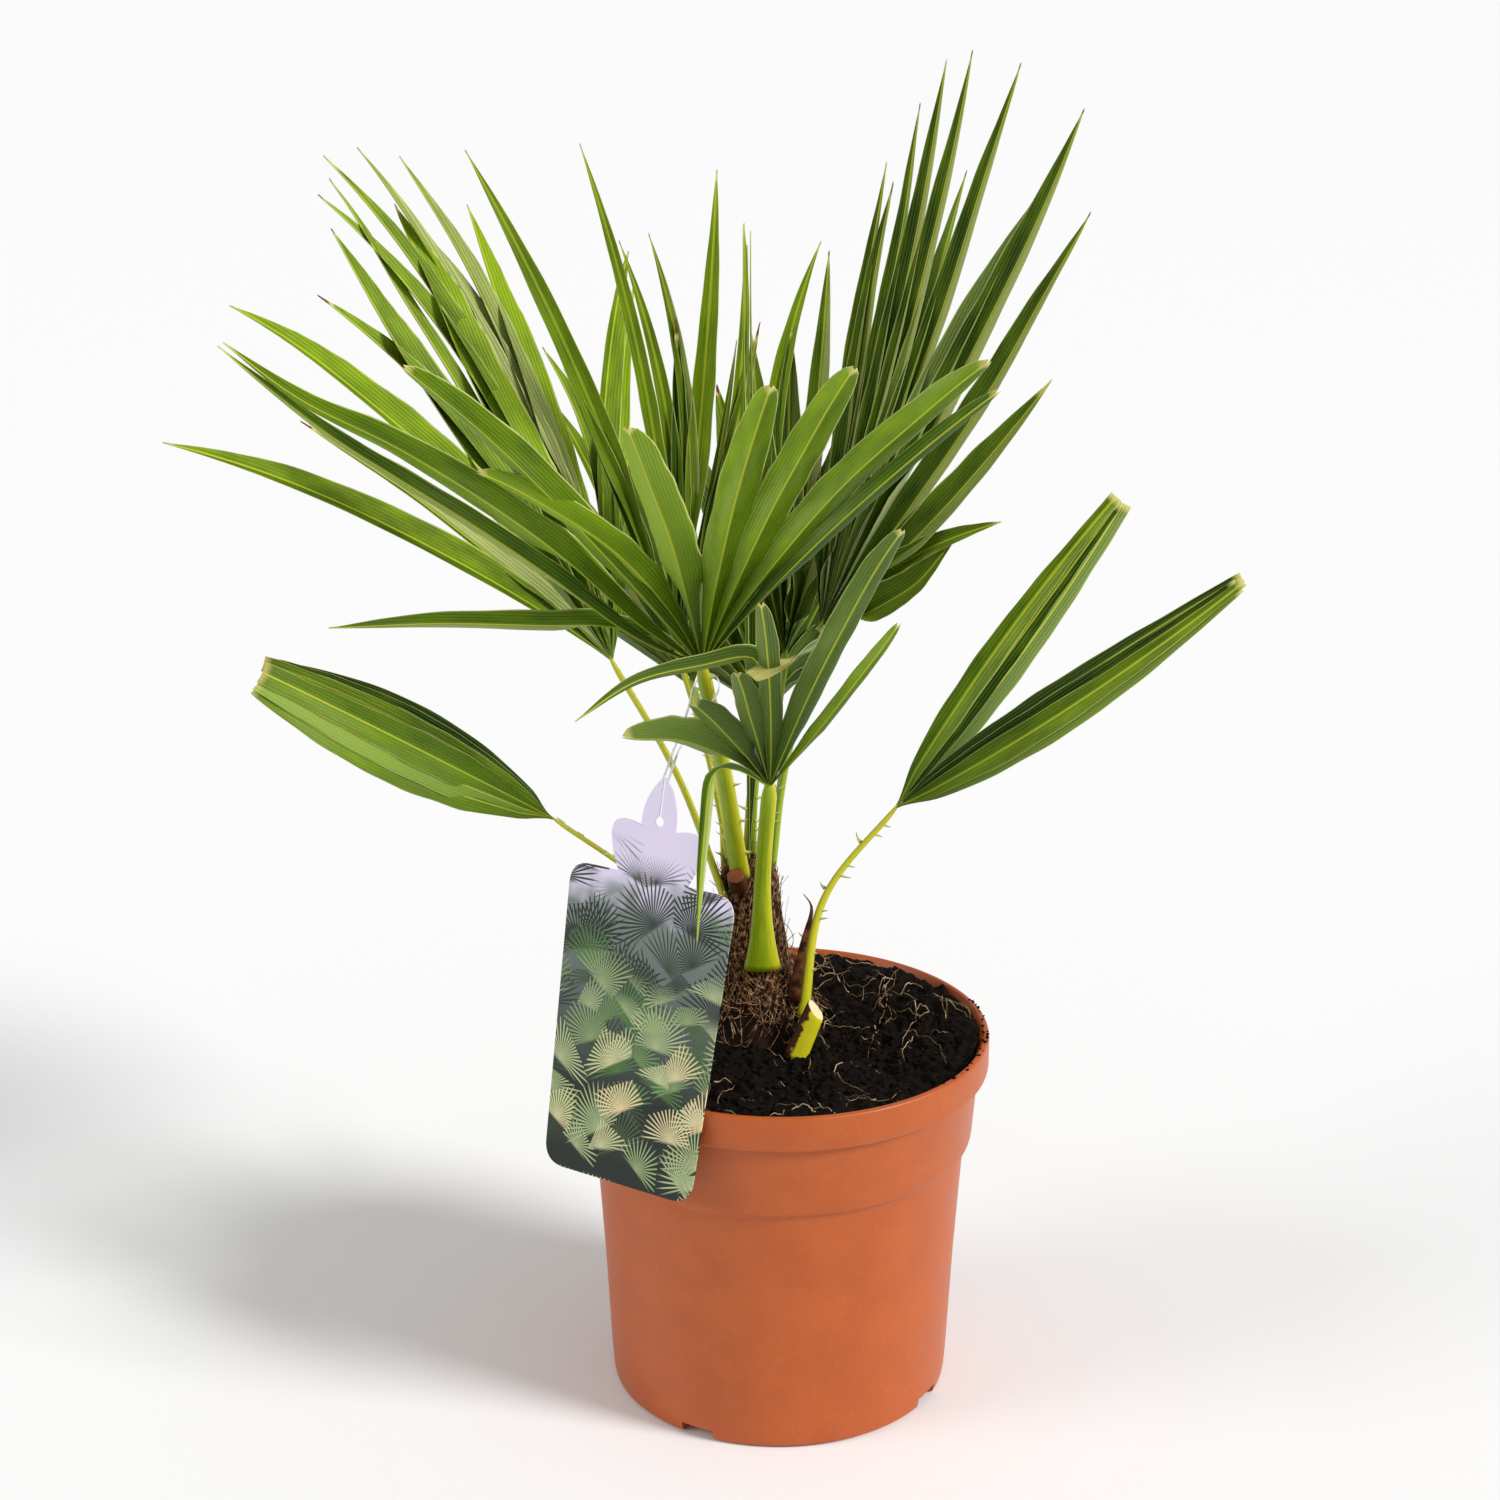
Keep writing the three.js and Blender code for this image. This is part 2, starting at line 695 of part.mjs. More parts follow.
// The inside of the pot's wall from its floor upwards.
function potWall() {
  return [
    [POT.heelRadius - POT.wall, POT.floor],
    [POT.bodyTopRadius - POT.wall, POT.bodyTop],
    [POT.collarRadius - POT.wall, POT.collarBottom],
    [POT.collarTopRadius - POT.wall, POT.height - POT.lipDepth],
  ];
}

function makePot() {
  const { lipRound } = POT;
  const outside = [
    [0, 0],
    [POT.heelRadius, 0],
    [POT.footRadius, POT.heelHeight],
    ...POT.bodyRadii,
    [POT.bodyTopRadius, POT.bodyTop],
    [POT.collarRadius, POT.collarBottom],
    [POT.collarTopRadius, POT.lipBottom],
    [POT.lipRadius - lipRound / 2, POT.lipBottom],
    [POT.lipRadius, POT.lipBottom + lipRound],
    [POT.lipRadius, POT.height - lipRound],
    [POT.lipRadius - lipRound, POT.height],
  ];
  const lipInside = [POT.lipRadius - 2 * lipRound, POT.height];
  const inside = [[0, POT.floor], ...potWall(), lipInside].reverse();
  const profile = [...outside, ...inside].map(([radius, height]) => new THREE.Vector2(radius, height));
  let pot = toSolid(new THREE.LatheGeometry(profile, POT.sides).rotateX(Math.PI / 2));
  for (let i = 0; i < NOTCH.count; i += 1) {
    const turn = radians(NOTCH.first + (360 / NOTCH.count) * i);
    const box = new THREE.BoxGeometry(2 * NOTCH.depth, NOTCH.width, 2 * NOTCH.height);
    box.translate(POT.footRadius, 0, 0);
    box.rotateZ(turn);
    pot = pot.subtract(toSolid(box));
  }
  place('pot', toGeometry(pot), FINISHES.pot);
}

// The soil stands clear of the pot's wall and floor all round, and ends flat below the lip.
function makeSoil() {
  const [lowest, ...higher] = potWall().map(([radius, height]) => [radius - SOIL.clearance, height]);
  const [below, above] = higher.slice(-2);
  const share = (SOIL.top - below[1]) / (above[1] - below[1]);
  const profile = [
    [0, POT.floor + GAP],
    [lowest[0], POT.floor + GAP],
    ...higher.slice(0, -1),
    [THREE.MathUtils.lerp(below[0], above[0], share), SOIL.top],
    [0, SOIL.top],
  ].map(([radius, height]) => new THREE.Vector2(radius, height));
  const soil = toSolid(new THREE.LatheGeometry(profile, POT.sides).rotateX(Math.PI / 2));
  place('soil', toGeometry(soil), FINISHES.soil);
}

function makeTrunk() {
  place('trunk', toGeometry(trunkSolid()), FINISHES.trunk);
}

function makeFronds(trunkRoom) {
  for (const [name, frond] of Object.entries(FRONDS)) {
    place(`stalk_${name}`, toGeometry(stalkSolid(frond).subtract(trunkRoom)), FINISHES.stalk);
    place(`blade_${name}`, toGeometry(bladeSolid(name, frond)), FINISHES.blade);
  }
  for (const [name, stalk] of Object.entries(CUT_STALKS)) {
    place(`stalk_${name}`, toGeometry(stalkSolid(stalk).subtract(trunkRoom)), FINISHES.stalk);
    const core = new THREE.IcosahedronGeometry(LEAFLET.hubRadius, 1).translate(...stalk.hub);
    const blades = FOLDED_BLADES[name].map((form) => foldedBladeSolid(vector(stalk.hub), form));
    place(`blade_${name}`, toGeometry(wasm.Manifold.union([toSolid(core), ...blades])), FINISHES.blade);
  }
  place('spear_leaf', toGeometry(foldedBladeSolid(vector(SPEAR.foot), SPEAR)), FINISHES.blade);
}

function makeLeavings(trunkRoom) {
  const ground = new THREE.BoxGeometry(POT.lipRadius, POT.lipRadius, 2 * GAP);
  const groundRoom = toSolid(ground.translate(0, 0, SOIL.top));
  place('cut_stump', toGeometry(shortLimb(STUMP).subtract(trunkRoom).subtract(groundRoom)), FINISHES.stalk);
  const front = stalkSolid({ ...FRONDS.front, spines: 0 }, GAP);
  const frontRoom = front.add(front.translate([0, 0, -GAP]));
  place('leaf_scar', toGeometry(shortLimb(SCAR).subtract(trunkRoom).subtract(frontRoom)), FINISHES.sheath);
  const curve = new THREE.QuadraticBezierCurve3(vector(SHEATH.foot), vector(SHEATH.bend), vector(SHEATH.top));
  const rings = Array.from({ length: STALK.steps + 1 }, (_, i) => {
    const share = i / STALK.steps;
    const { across, depth } = limbFrame(curve, share);
    const halfWidth = THREE.MathUtils.lerp(SHEATH.halfWidths[0], SHEATH.halfWidths[1], share);
    return ovalRing(curve.getPoint(share), across, depth, halfWidth, SHEATH.thickness, STALK.sides);
  });
  const sheath = loft(rings, roundCaps(STALK.sides));
  const stalkRoom = stalkSolid({ ...CUT_STALKS.cut_right, spines: 0 }, GAP);
  place('dry_sheath', toGeometry(sheath.subtract(trunkRoom).subtract(stalkRoom)), FINISHES.sheath);
}

// The label's outline: a board with shoulders, two side lobes and a tall middle lobe with a keyhole.
function labelShape() {
  const { centre: c, bottom, shoulder, bottomCorner: b, topCorner: t } = LABEL;
  const [low, high] = LABEL.halfWidths;
  const { neckHalfWidth: n, sideLobeTop, sideLobeOuter: o, notchHeight, lobeTop, lobeHalfWidth: m } = LABEL;
  const bulge = m + LABEL.lobeBulge;
  const shape = new THREE.Shape();
  shape.moveTo(c - low + b, bottom);
  shape.lineTo(c + low - b, bottom);
  shape.quadraticCurveTo(c + low, bottom, c + low, bottom + b);
  shape.lineTo(c + high, shoulder - t);
  shape.quadraticCurveTo(c + high, shoulder, c + high - t, shoulder);
  shape.lineTo(c + n, shoulder);
  shape.quadraticCurveTo(c + o, sideLobeTop, c + m, notchHeight);
  shape.quadraticCurveTo(c + bulge, lobeTop - t, c, lobeTop);
  shape.quadraticCurveTo(c - bulge, lobeTop - t, c - m, notchHeight);
  shape.quadraticCurveTo(c - o, sideLobeTop, c - n, shoulder);
  shape.lineTo(c - high + t, shoulder);
  shape.quadraticCurveTo(c - high, shoulder, c - high, shoulder - t);
  shape.lineTo(c - low, bottom + b);
  shape.quadraticCurveTo(c - low, bottom, c - low + b, bottom);
  const hole = new THREE.Path();
  hole.absarc(c, LABEL.holeHeight, LABEL.holeRadius, 0, 2 * Math.PI, true);
  shape.holes.push(hole);
  return shape;
}

// The strap: a narrow band from the label's middle lobe, round the front stalk and back.
function strapSolid(labelPlace) {
  const anchor = [LABEL.centre, LABEL.lobeTop - STRAP.anchorDrop, LABEL.thickness / 2 + GAP];
  const lobe = vector(anchor).applyMatrix4(labelPlace);
  const stalk = stalkCurve(FRONDS.front);
  const share = (STRAP.height - FRONDS.front.foot[2]) / (FRONDS.front.hub[2] - FRONDS.front.foot[2]);
  const middle = stalk.getPoint(share);
  const along = middle.clone().sub(lobe);
  const reach = along.length();
  along.normalize();
  const aside = new THREE.Vector3().crossVectors(along, stalk.getTangent(share)).normalize();
  const at = (forward, sideways, back = 0) => {
    const point = lobe.clone().addScaledVector(along, forward).addScaledVector(aside, sideways);
    point.y += back;
    return point;
  };
  const { loopRadius: r, spread, bow, bowShare } = STRAP;
  const open = STRAP.openShare * r;
  const diagonal = STRAP.loopCorner * r;
  const half = (turn) => [
    at(0, turn * spread),
    at(bowShare * reach, turn * spread, bow),
    at(reach - 2 * r, turn * open, bowShare * bow),
    at(reach, turn * r),
    at(reach + diagonal, turn * diagonal),
  ];
  const route = new THREE.CatmullRomCurve3([...half(-1), at(reach + r, 0), ...half(1).reverse()]);
  const bandUp = new THREE.Vector3().crossVectors(along, aside).normalize();
  const rings = Array.from({ length: STRAP.steps + 1 }, (_, i) => {
    const centre = route.getPoint(i / STRAP.steps);
    const tangent = route.getTangent(i / STRAP.steps);
    const out = new THREE.Vector3().crossVectors(tangent, bandUp).normalize();
    const corner = (u, v) => centre.clone()
      .addScaledVector(bandUp, (u * STRAP.width) / 2)
      .addScaledVector(out, (v * STRAP.thickness) / 2);
    return [corner(-1, -1), corner(1, -1), corner(1, 1), corner(-1, 1)];
  });
  return loft(rings, roundCaps(4));
}

function makeLabel() {
  const board = new THREE.ExtrudeGeometry(labelShape(), {
    depth: LABEL.thickness,
    bevelEnabled: false,
    curveSegments: LABEL.curveSteps,
  });
  board.translate(0, 0, GAP);
  const turn = new THREE.Euler(radians(90 - LABEL.tilt), 0, -radians(LABEL.yaw), 'ZXY');
  const upright = new THREE.Vector3(0, 0, 1);
  const touch = new THREE.Vector3(0, -POT.lipRadius, 0).applyAxisAngle(upright, -radians(LABEL.yaw));
  touch.z = POT.height - POT.lipRound;
  const labelPlace = new THREE.Matrix4().makeRotationFromEuler(turn).setPosition(touch);
  board.applyMatrix4(labelPlace);
  place('hang_label', toGeometry(toSolid(board).add(strapSolid(labelPlace))), FINISHES.label);
}

const trunkRoom = trunkSolid(GAP);
makePot();
makeSoil();
makeTrunk();
makeFronds(trunkRoom);
makeLeavings(trunkRoom);
makeLabel();

export default root;
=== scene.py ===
"""Looks of a young european fan palm in its nursery pot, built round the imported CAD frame.

Sizes are written in millimetres in the frame's own axes, and become metres where a mesh is made.
"""

import math
import random

import bmesh
import bpy
import numpy as np
from bpy.props import FloatProperty, FloatVectorProperty, IntProperty, PointerProperty
from mathutils import Matrix, Vector, noise


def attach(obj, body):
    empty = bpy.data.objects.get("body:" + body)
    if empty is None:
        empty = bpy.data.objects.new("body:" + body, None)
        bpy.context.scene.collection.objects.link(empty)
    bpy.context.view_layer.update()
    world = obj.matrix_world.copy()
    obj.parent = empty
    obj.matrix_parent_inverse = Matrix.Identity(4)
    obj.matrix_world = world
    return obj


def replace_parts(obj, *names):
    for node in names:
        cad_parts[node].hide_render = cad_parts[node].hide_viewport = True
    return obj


bl_info = {
    "name": "Potted European Fan Palm",
    "version": (1, 0, 0),
    "blender": (4, 5, 0),
    "location": "3D View > Sidebar > Fan Palm",
    "description": "Builds the looks of a young fan palm in its nursery pot",
    "category": "Add Mesh",
}

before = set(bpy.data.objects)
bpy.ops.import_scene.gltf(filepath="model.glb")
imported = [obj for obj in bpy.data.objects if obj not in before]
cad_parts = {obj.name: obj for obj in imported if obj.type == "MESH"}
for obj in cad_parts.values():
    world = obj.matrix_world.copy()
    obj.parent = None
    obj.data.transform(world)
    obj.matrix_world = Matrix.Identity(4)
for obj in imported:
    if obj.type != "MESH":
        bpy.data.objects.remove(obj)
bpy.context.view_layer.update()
MM = 0.001
UP = np.array((0.0, 0.0, 1.0))

# The pot's outside from the foot up and its inside from the lip down, as radius and height.
POT_OUTSIDE = [
    (0, 2), (66, 2), (68, 0), (74.5, 0), (77, 1.2), (77.6, 4), (78.3, 13), (80.9, 66), (84.4, 118.5),
    (84.9, 120), (86.4, 120.8), (87.5, 122.4), (88, 125), (90.4, 155), (91, 155.5), (93.2, 155.5),
    (94.6, 156.2), (95, 158), (95, 170.4), (94.6, 171.6), (93.5, 172),
]
POT_INSIDE = [(92.4, 172), (91.2, 170), (89, 165), (88, 160), (85.4, 124), (82, 120), (71.9, 4), (0, 4)]
NOTCHES = {"count": 4, "first": -29, "width": 16, "height": 5.5, "depth": 9, "radius": 77.5}
POT_EDGE = 0.7
SOIL = {
    "top": 166, "radius": 88, "floor": 6, "wall": 72, "side": (80.8, 116), "under_lip": (84.6, 124),
    "loose": 86, "edge": 89, "rings": 110, "steps": 320, "crumb": 3,
}

# The soil is banked up at the right and rear. Crumbs lie spilled on the lip, and roots on the soil.
BANK = {
    "height": 4.6, "turn": 0.5, "sides": (-0.35, 0.6), "radii": (50, 86), "rim": (76, 88), "spread": 0.0055,
}
SPILL = {"radii": (91.8, 94.4), "angles": (-0.75, 0.5, -0.2), "size": 0.6}
ROOTS = {
    "behind": 66, "angles": (0.2, 0.7 * math.pi), "short": (6, 18), "long": (18, 42), "wobble": 0.13,
    "radii": (0.12, 0.16, 0.2, 0.26, 0.36),
}

# The crown's middle, seen from above. Each stalk's grooved side faces it.
CROWN_MIDDLE = (-9, 19)

# The trunk's rings from the soil up, as height, radius, x and y.
TRUNK = [
    (163, 34, -9, 19), (167, 31, -9, 19), (172, 27.5, -9, 19), (179, 23, -10, 19.5),
    (188, 18, -10, 20), (199, 14.5, -11, 20), (220, 11.6, -12.3, 20), (240, 11.6, -14, 20), (246, 8, -14, 20),
]

# The fibres that cross over the trunk, the ones that tangle round it, and the heights they follow it at.
FIBRES = {"foot": (167, 232), "rise": (14, 34), "lean": 1.1, "off": (0.2, 1.0), "loose": 6, "top": 250}
TANGLES = {
    "angles": (-2.7, 0.7), "heights": (170, 246, 186), "loose_below": 198, "off": (0.5, 0.8, 1.6, 4.0),
    "rise": (0, 4.5), "turn": 0.35, "sway": 0.25, "step": (0.8, 2.2), "range": (168, 252),
}
CORE = (167, 244)

# The open fronds. A leaflet is its bearing across the blade, its length, its share of the blade's leaflet
# width where that isn't 1, and where it has its own, its sideways swing and its tone.
FRONDS = {
    "left": {
        "hub": (-74, 5, 345), "foot": (-22, 14, 221), "via": (-45, 9, 289), "stalk": (10, 5), "spines": 14,
        "axis": (150, 56), "cup": 8, "droop": 0.17, "spread": 0, "width": 9, "fold": 36,
        "leaflets": [
            (-47, 277, 1.05, -0.01, 0.45), (-35, 210, 0.87, -0.08, 0.15), (-28.5, 266, 1.25, 0.09, 0.75),
            (-17.5, 236, 1.1, 0.16, 0.6), (-9.7, 258, 1.5, -0.22, 0.5), (-8.2, 276, 1, 0.21, 0.6),
            (-5.6, 281, 0.65, -0.08, 0.6), (-4.6, 293, 0.95, 0.17, 0.5), (0, 292, 0.8, 0.16, 0.15),
            (1.8, 260, 1.8, -0.15, 0.85), (3.8, 249, 1.1, 0.1, 0.1), (5.3, 285, 1, 0.14, 0.3),
            (12.4, 257, 1.35, -0.04, 0.95), (19.7, 178, 1.05, 0.29, 0.6), (36.7, 264, 0.95, -0.16, 0.6),
            (37.5, 244, 0.6, -0.05, 0.95),
        ],
    },
    "front": {
        "hub": (-34, -30, 353), "foot": (-18, 7, 243.6), "via": (-25, -12, 299), "stalk": (10, 7),
        "spines": 16,
        "axis": (262, 60), "cup": -4, "droop": 0.08, "spread": 0.2, "width": 11.4, "fold": 34,
        "blunt": True,
        "leaflets": [
            (-32.6, 241, 0.45, 0.03, 0), (-30, 253, 0.75, 0.09, 0.5), (-20, 224, 0.82, 0.03, 0.6),
            (-12.7, 201, 0.86, 0.04, 0.65), (5, 166, 0.95, -0.06, 1.1), (25, 227, 0.87, -0.03, 0.5),
            (29.3, 158, 0.76, -0.33, 0.95),
        ],
    },
    "right": {
        "hub": (18, 25, 355), "foot": (-4, 19, 243.6), "via": (1.5, 21, 289), "stalk": (8, 6), "spines": 15,
        "axis": (52, 64), "cup": 8, "droop": 0.06, "bow": 0.08, "spread": 0.5, "width": 10.6, "fold": 34,
        "leaflets": [
            (-7, 90, 0.7, 0, 0.1), (-4.2, 219, 0.5, -0.04, 0.35), (-3, 210, 0.65, -0.02, 0.25),
            (-1, 247, 0.55, 0.06, 0.3), (1, 268, 0.72, 0.08, 0.12), (3.5, 274, 0.72, 0.1, 0.2),
            (7, 220, 0.65, 0.08, 1.25), (9, 273, 0.72, 0.09, 0.15), (17.2, 217, 0.92, 0, 1.4),
            (17.8, 264, 1, 0.12, 0.2), (24.5, 227, 0.78, 0.16, 0.25), (35.6, 161, 0.92, 0.17, 0.35),
            (50, 81, 0.93, 0.47, 0.45), (52.7, 107, 0.66, -0.19, 0.5),
        ],
    },
    "low": {
        "hub": (-5, -25, 297), "foot": (-8, 2, 200.5), "via": (-8, -8, 247), "stalk": (17, 7), "spines": 0,
        "flare": 5, "blunt": True,
        "axis": (268, 60), "cup": -4, "droop": 0.1, "spread": 0, "width": 9.2, "fold": 34,
        "leaflets": [
            (-21.6, 146, 0.42, -0.11, 0.7), (-15, 208, 0.8, 0.02, -0.35), (0.6, 146, 0.64, -0.05, -0.6),
            (7.3, 95, 0.76, 0.02, -0.75), (24, 77, 0.92, -0.03, -0.8), (51.4, 79, 1.3, -0.4, 1.3),
        ],
    },
    "rear": {
        "hub": (2, 30, 340), "foot": (-7, 27.5, 243.6), "via": (-4, 30, 290), "stalk": (6, 4.6),
        "spines": 0,
        "axis": (80, 66), "cup": 6, "droop": 0.04, "spread": 0.2, "width": 9.5, "fold": 30,
        "leaflets": [
            (-26, 110), (-17, 130), (-9, 150), (-2, 150), (1.8, 192, 0.62, -0.29, 0.8),
            (3, 188, 0.66, 0.05, 0.25), (11, 112), (17.6, 53, 0.8, -0.11, 0.4),
        ],
    },
    "upright": {
        "hub": (-46, 20, 346), "foot": (-22.5, 20, 243.6), "via": (-32, 20, 295), "stalk": (6, 4.6),
        "spines": 9,
        "axis": (95, 80), "cup": 6, "droop": 0.05, "spread": -0.5, "width": 8.5, "fold": 30,
        "leaflets": [
            (-20.8, 246, 0.7, 0.1, 0.6), (-19.8, 140, 0.55, 0.08, 0.5), (-9.5, 235, 0.5, 0.13, 0.6),
            (-6.9, 190, 0.5, 0.21, 0.5), (-3, 192, 0.5, 0.24, 0.3), (0.5, 153, 0.62, 0.05, 0),
            (5.2, 220, 0.7, 0.04, 0.65), (9, 198, 0.45, 0.21, 0.55), (11, 146, 0.3, 0.07, 0.4),
            (14.1, 156, 0.55, 0.05, 0.3),
        ],
    },
    "back": {
        "hub": (-6, 66, 302), "foot": (-14, 31.5, 238), "via": (-12, 43, 274), "stalk": (6.5, 4.6),
        "spines": 11,
        "axis": (89, 31), "cup": 6, "droop": 0.12, "spread": 0.2, "width": 8.5, "fold": 36,
        "leaflets": [
            (-48, 130), (-38, 150), (-29, 165), (-20, 175), (-11, 178), (-3, 180), (5, 172),
            (12, 150), (19, 105),
            (27, 80), (36, 60),
        ],
    },
    "back_left": {
        "hub": (-40, 58, 316), "foot": (-24, 28, 236), "via": (-27, 38, 276), "stalk": (6.5, 4.6),
        "spines": 11,
        "axis": (128, 36), "cup": 6, "droop": 0.1, "spread": 0.2, "width": 8.5, "fold": 36,
        "leaflets": [
            (-30, 150), (-21, 168), (-12, 180), (-3, 188), (6, 185), (15, 176), (24, 160), (33, 140),
        ],
    },
}

# Leaflets that bend on the way, each along a few points from its own hub.
BENT_LEAFLETS = {
    "front": [
        {
            "width": 10, "fold": 24, "tone": 0.5,
            "route": [
                (-58, -43, 374), (-91, -66, 412), (-114, -79, 434), (-151, -99, 464), (-186, -117, 488),
                (-212, -132, 513),
            ],
        },
        {
            "width": 6.5, "fold": 30, "tone": 0.1,
            "route": [
                (-60, -40, 368), (-100, -59, 404), (-131, -75, 431), (-153, -87, 449), (-177, -103, 470),
                (-214, -133, 512),
            ],
        },
        {
            "width": 7.2, "fold": 26, "tone": 0.35,
            "route": [
                (-54, -35, 368), (-77, -39, 374), (-98, -42, 375), (-145, -43, 376), (-191, -39, 373),
            ],
        },
    ],
    "low": [
        {
            "width": 6.5, "fold": 20, "tone": -0.3,
            "route": [(-9, -55, 345), (-13, -77, 372), (-34, -84, 371), (-59, -88, 365), (-85, -92, 349)],
        },
        {
            "width": 3, "fold": 25, "tone": 0.2,
            "route": [(-20, -45, 312), (-29, -62, 316), (-33, -73, 290), (-36, -76, 245)],
        },
    ],
    "right": [
        {
            "width": 4.6, "fold": 8, "tone": 0.35, "cut": 0.9, "dry": 34,
            "route": [(16, -8, 359), (12, -40, 365), (1, -70, 368), (-13, -82, 365)],
        },
    ],
}

# Blades that are still folded up like a closed fan and were cut straight across. Their leaflets lie over each
# other from the back to the front: each is its place across the bundle, its half width, its tone, whether its
# underside shows, its share of its width at the cut and its share of the bundle's length.
FOLDED_BLADES = {
    "cut_right": [
        {
            "direction": (22, 51.5), "roll": 58, "sag": 0.02, "length": 173, "width": 9, "cut": 3.3,
            "fold": 5, "skew": 1.15,
            "leaflets": [
                (0.66, 6, 1.45, True, 0.7, 0.998), (0.1, 5, 0.02, False, 0.5, 0.99),
                (-0.52, 5.6, 0.42, False, 0.5, 1),
            ],
        },
        {
            "direction": (-20, 35), "roll": 83, "sag": -0.08, "length": 185, "width": 9.6, "cut": 2.4,
            "fold": 5, "skew": 1.15,
            "leaflets": [
                (-0.66, 5.2, -0.1, False, 0.45, 0.995), (-0.2, 5.4, 0.05, False, 0.4, 0.98),
                (0.62, 5.2, 1.25, True, 0.4, 0.985), (0.2, 5.6, 0.5, False, 0.35, 1),
            ],
        },
    ],
    "cut_left": [
        {
            "direction": (-164, 31.6), "roll": -78, "sag": -0.01, "length": 149, "width": 16.8,
            "cut": 8.2, "fold": 5, "skew": 1.45,
            "leaflets": [
                (0.9, 4.2, -0.1, False, 0.4, 0.93), (0.72, 4.8, 0.05, False, 0.5, 0.97),
                (0.5, 5.6, 0.5, False, 0.6, 1), (-0.7, 6.4, 0.46, True, 0.6, 0.99),
                (-0.32, 7.4, 1.2, True, 0.65, 0.994), (0.08, 7.8, 0.5, True, 0.6, 1),
            ],
        },
    ],
}
CUT_STALKS = {
    "cut_right": {
        "hub": (51, 10, 274), "foot": (9.7, 3, 176), "via": (19.4, 8, 231.7), "stalk": (7.2, 3.4),
        "spines": 12, "round": True, "turn": 70,
    },
    "cut_left": {
        "hub": (-99, -10, 276), "foot": (-25.6, 14, 204), "via": (-62, 3, 243), "stalk": (6, 3.8),
        "spines": 9,
    },
}
SPEAR = {
    "foot": (-14, 20, 240), "direction": (175, 89.5), "roll": 0, "length": 293, "sag": 0,
    "width": 5, "cut": 0.6, "fold": 30, "skew": 1.15,
    "leaflets": [
        (-0.4, 3, 0.2, False, 0.1, 1), (0.4, 3, 0.4, False, 0.1, 0.97), (0, 3, 0.3, False, 0.1, 0.99),
    ],
}
STUMP = {
    "foot": (6.4, -14.9, 163), "top": (16, -11, 185.5), "radii": (5.5, 4.8), "flatten": 0.75, "slant": 0.5,
}
SCAR = {"foot": (-18.5, 8, 238), "top": (-20.2, -1, 246), "radii": (4.6, 3.9), "flatten": 0.9, "slant": 0}
SHEATH = {
    "route": [
        (6, 1.5, 184), (8.6, 1, 202), (11.4, 1.4, 216), (14, 2, 227), (13.7, 1.5, 231.5), (10.4, 1, 236.5),
    ],
    "widths": (3.2, 0.35), "flatten": 0.35,
}

# The label stands on its own plane: across and up in millimetres from where it touches the lip.
LABEL = {
    "yaw": 33, "tilt": 13, "thickness": 0.8, "centre": -17.8, "bottom": -38.2, "shoulder": 97.2,
    "low_half": 39, "high_half": 42.6, "bottom_corner": 11, "top_corner": 10, "neck": 18,
    "side_top": 126, "side_outer": 33, "notch": 119, "lobe_top": 141.5, "lobe_half": 9, "hole": 122,
    "hole_radius": 2.2, "slit": 0.5, "rim": 95, "rest": 170,
}
STRAP = {"radius": 0.55, "loop": 6.4, "spread": 1.4, "height": 342, "bow": 11, "cloud": 20}

# The camera's place in metres and its turn from straight down in degrees, and half the floor's side.
CAMERA = {"place": (-0.0136, -1.257, 0.7387), "tilt": 70.97}
FLOOR_HALF = 40000

# Where a leaflet's points lie across it, from one margin over the rib to the other.
LEAF_SECTION = (-1, -0.93, -0.65, -0.34, -0.07, 0, 0.07, 0.34, 0.65, 0.93, 1)
LEAF_STATIONS = 44
LEAF_THICKNESS = 0.5
LEAF_WIDEST = 0.34

# Rings along and points round a stalk, a thorn, the trunk, a fibre and a root, and points round a limb.
STALK_MESH = (34, 20)
THORN_MESH = (6, 6)
TRUNK_MESH = (60, 72)
FIBRE_MESH = (10, 4)
ROOT_MESH = (17, 5)
LIMB_SIDES = 28


def linear(colour):
    """Turns an sRGB hex colour to Blender's linear values."""
    shares = [int(colour[i : i + 2], 16) / 255 for i in (1, 3, 5)]
    return tuple(s / 12.92 if s <= 0.04045 else ((s + 0.055) / 1.055) ** 2.4 for s in shares)


def opaque(colour):
    """A property's colour as a socket takes it."""
    return (*colour[:3], 1.0)


def add_node(tree, kind, inputs=None, **settings):
    """Adds a shader node with its settings, and sets or links its inputs."""
    node = tree.nodes.new(f"ShaderNode{kind}")
    for name, value in settings.items():
        setattr(node, name, value)
    for socket, value in (inputs or {}).items():
        if isinstance(value, bpy.types.NodeSocket):
            tree.links.new(value, node.inputs[socket])
        else:
            node.inputs[socket].default_value = value
    return node


def new_material(name):
    """An empty node material and its tree."""
    material = bpy.data.materials.new(name)
    material.use_nodes = True
    material.node_tree.nodes.clear()
    return material, material.node_tree


def finish_material(tree, colour, layers, roughness, specular, height=None, depth=0.0):
    """Lays tints over a colour by their shares and adds the shader, with a bump where a height is given."""
    for share, tint in layers:
        tints = {0: share, 6: colour, 7: tint}
        colour = add_node(tree, "Mix", tints, data_type="RGBA").outputs[2]
    inputs = {"Base Color": colour, "Roughness": roughness, "Specular IOR Level": specular}
    if height is not None:
        bump = {"Strength": 1.0, "Distance": depth * MM, "Height": height}
        inputs["Normal"] = add_node(tree, "Bump", bump).outputs[0]
    shader = add_node(tree, "BsdfPrincipled", inputs)
    add_node(tree, "OutputMaterial", {"Surface": shader.outputs[0]})


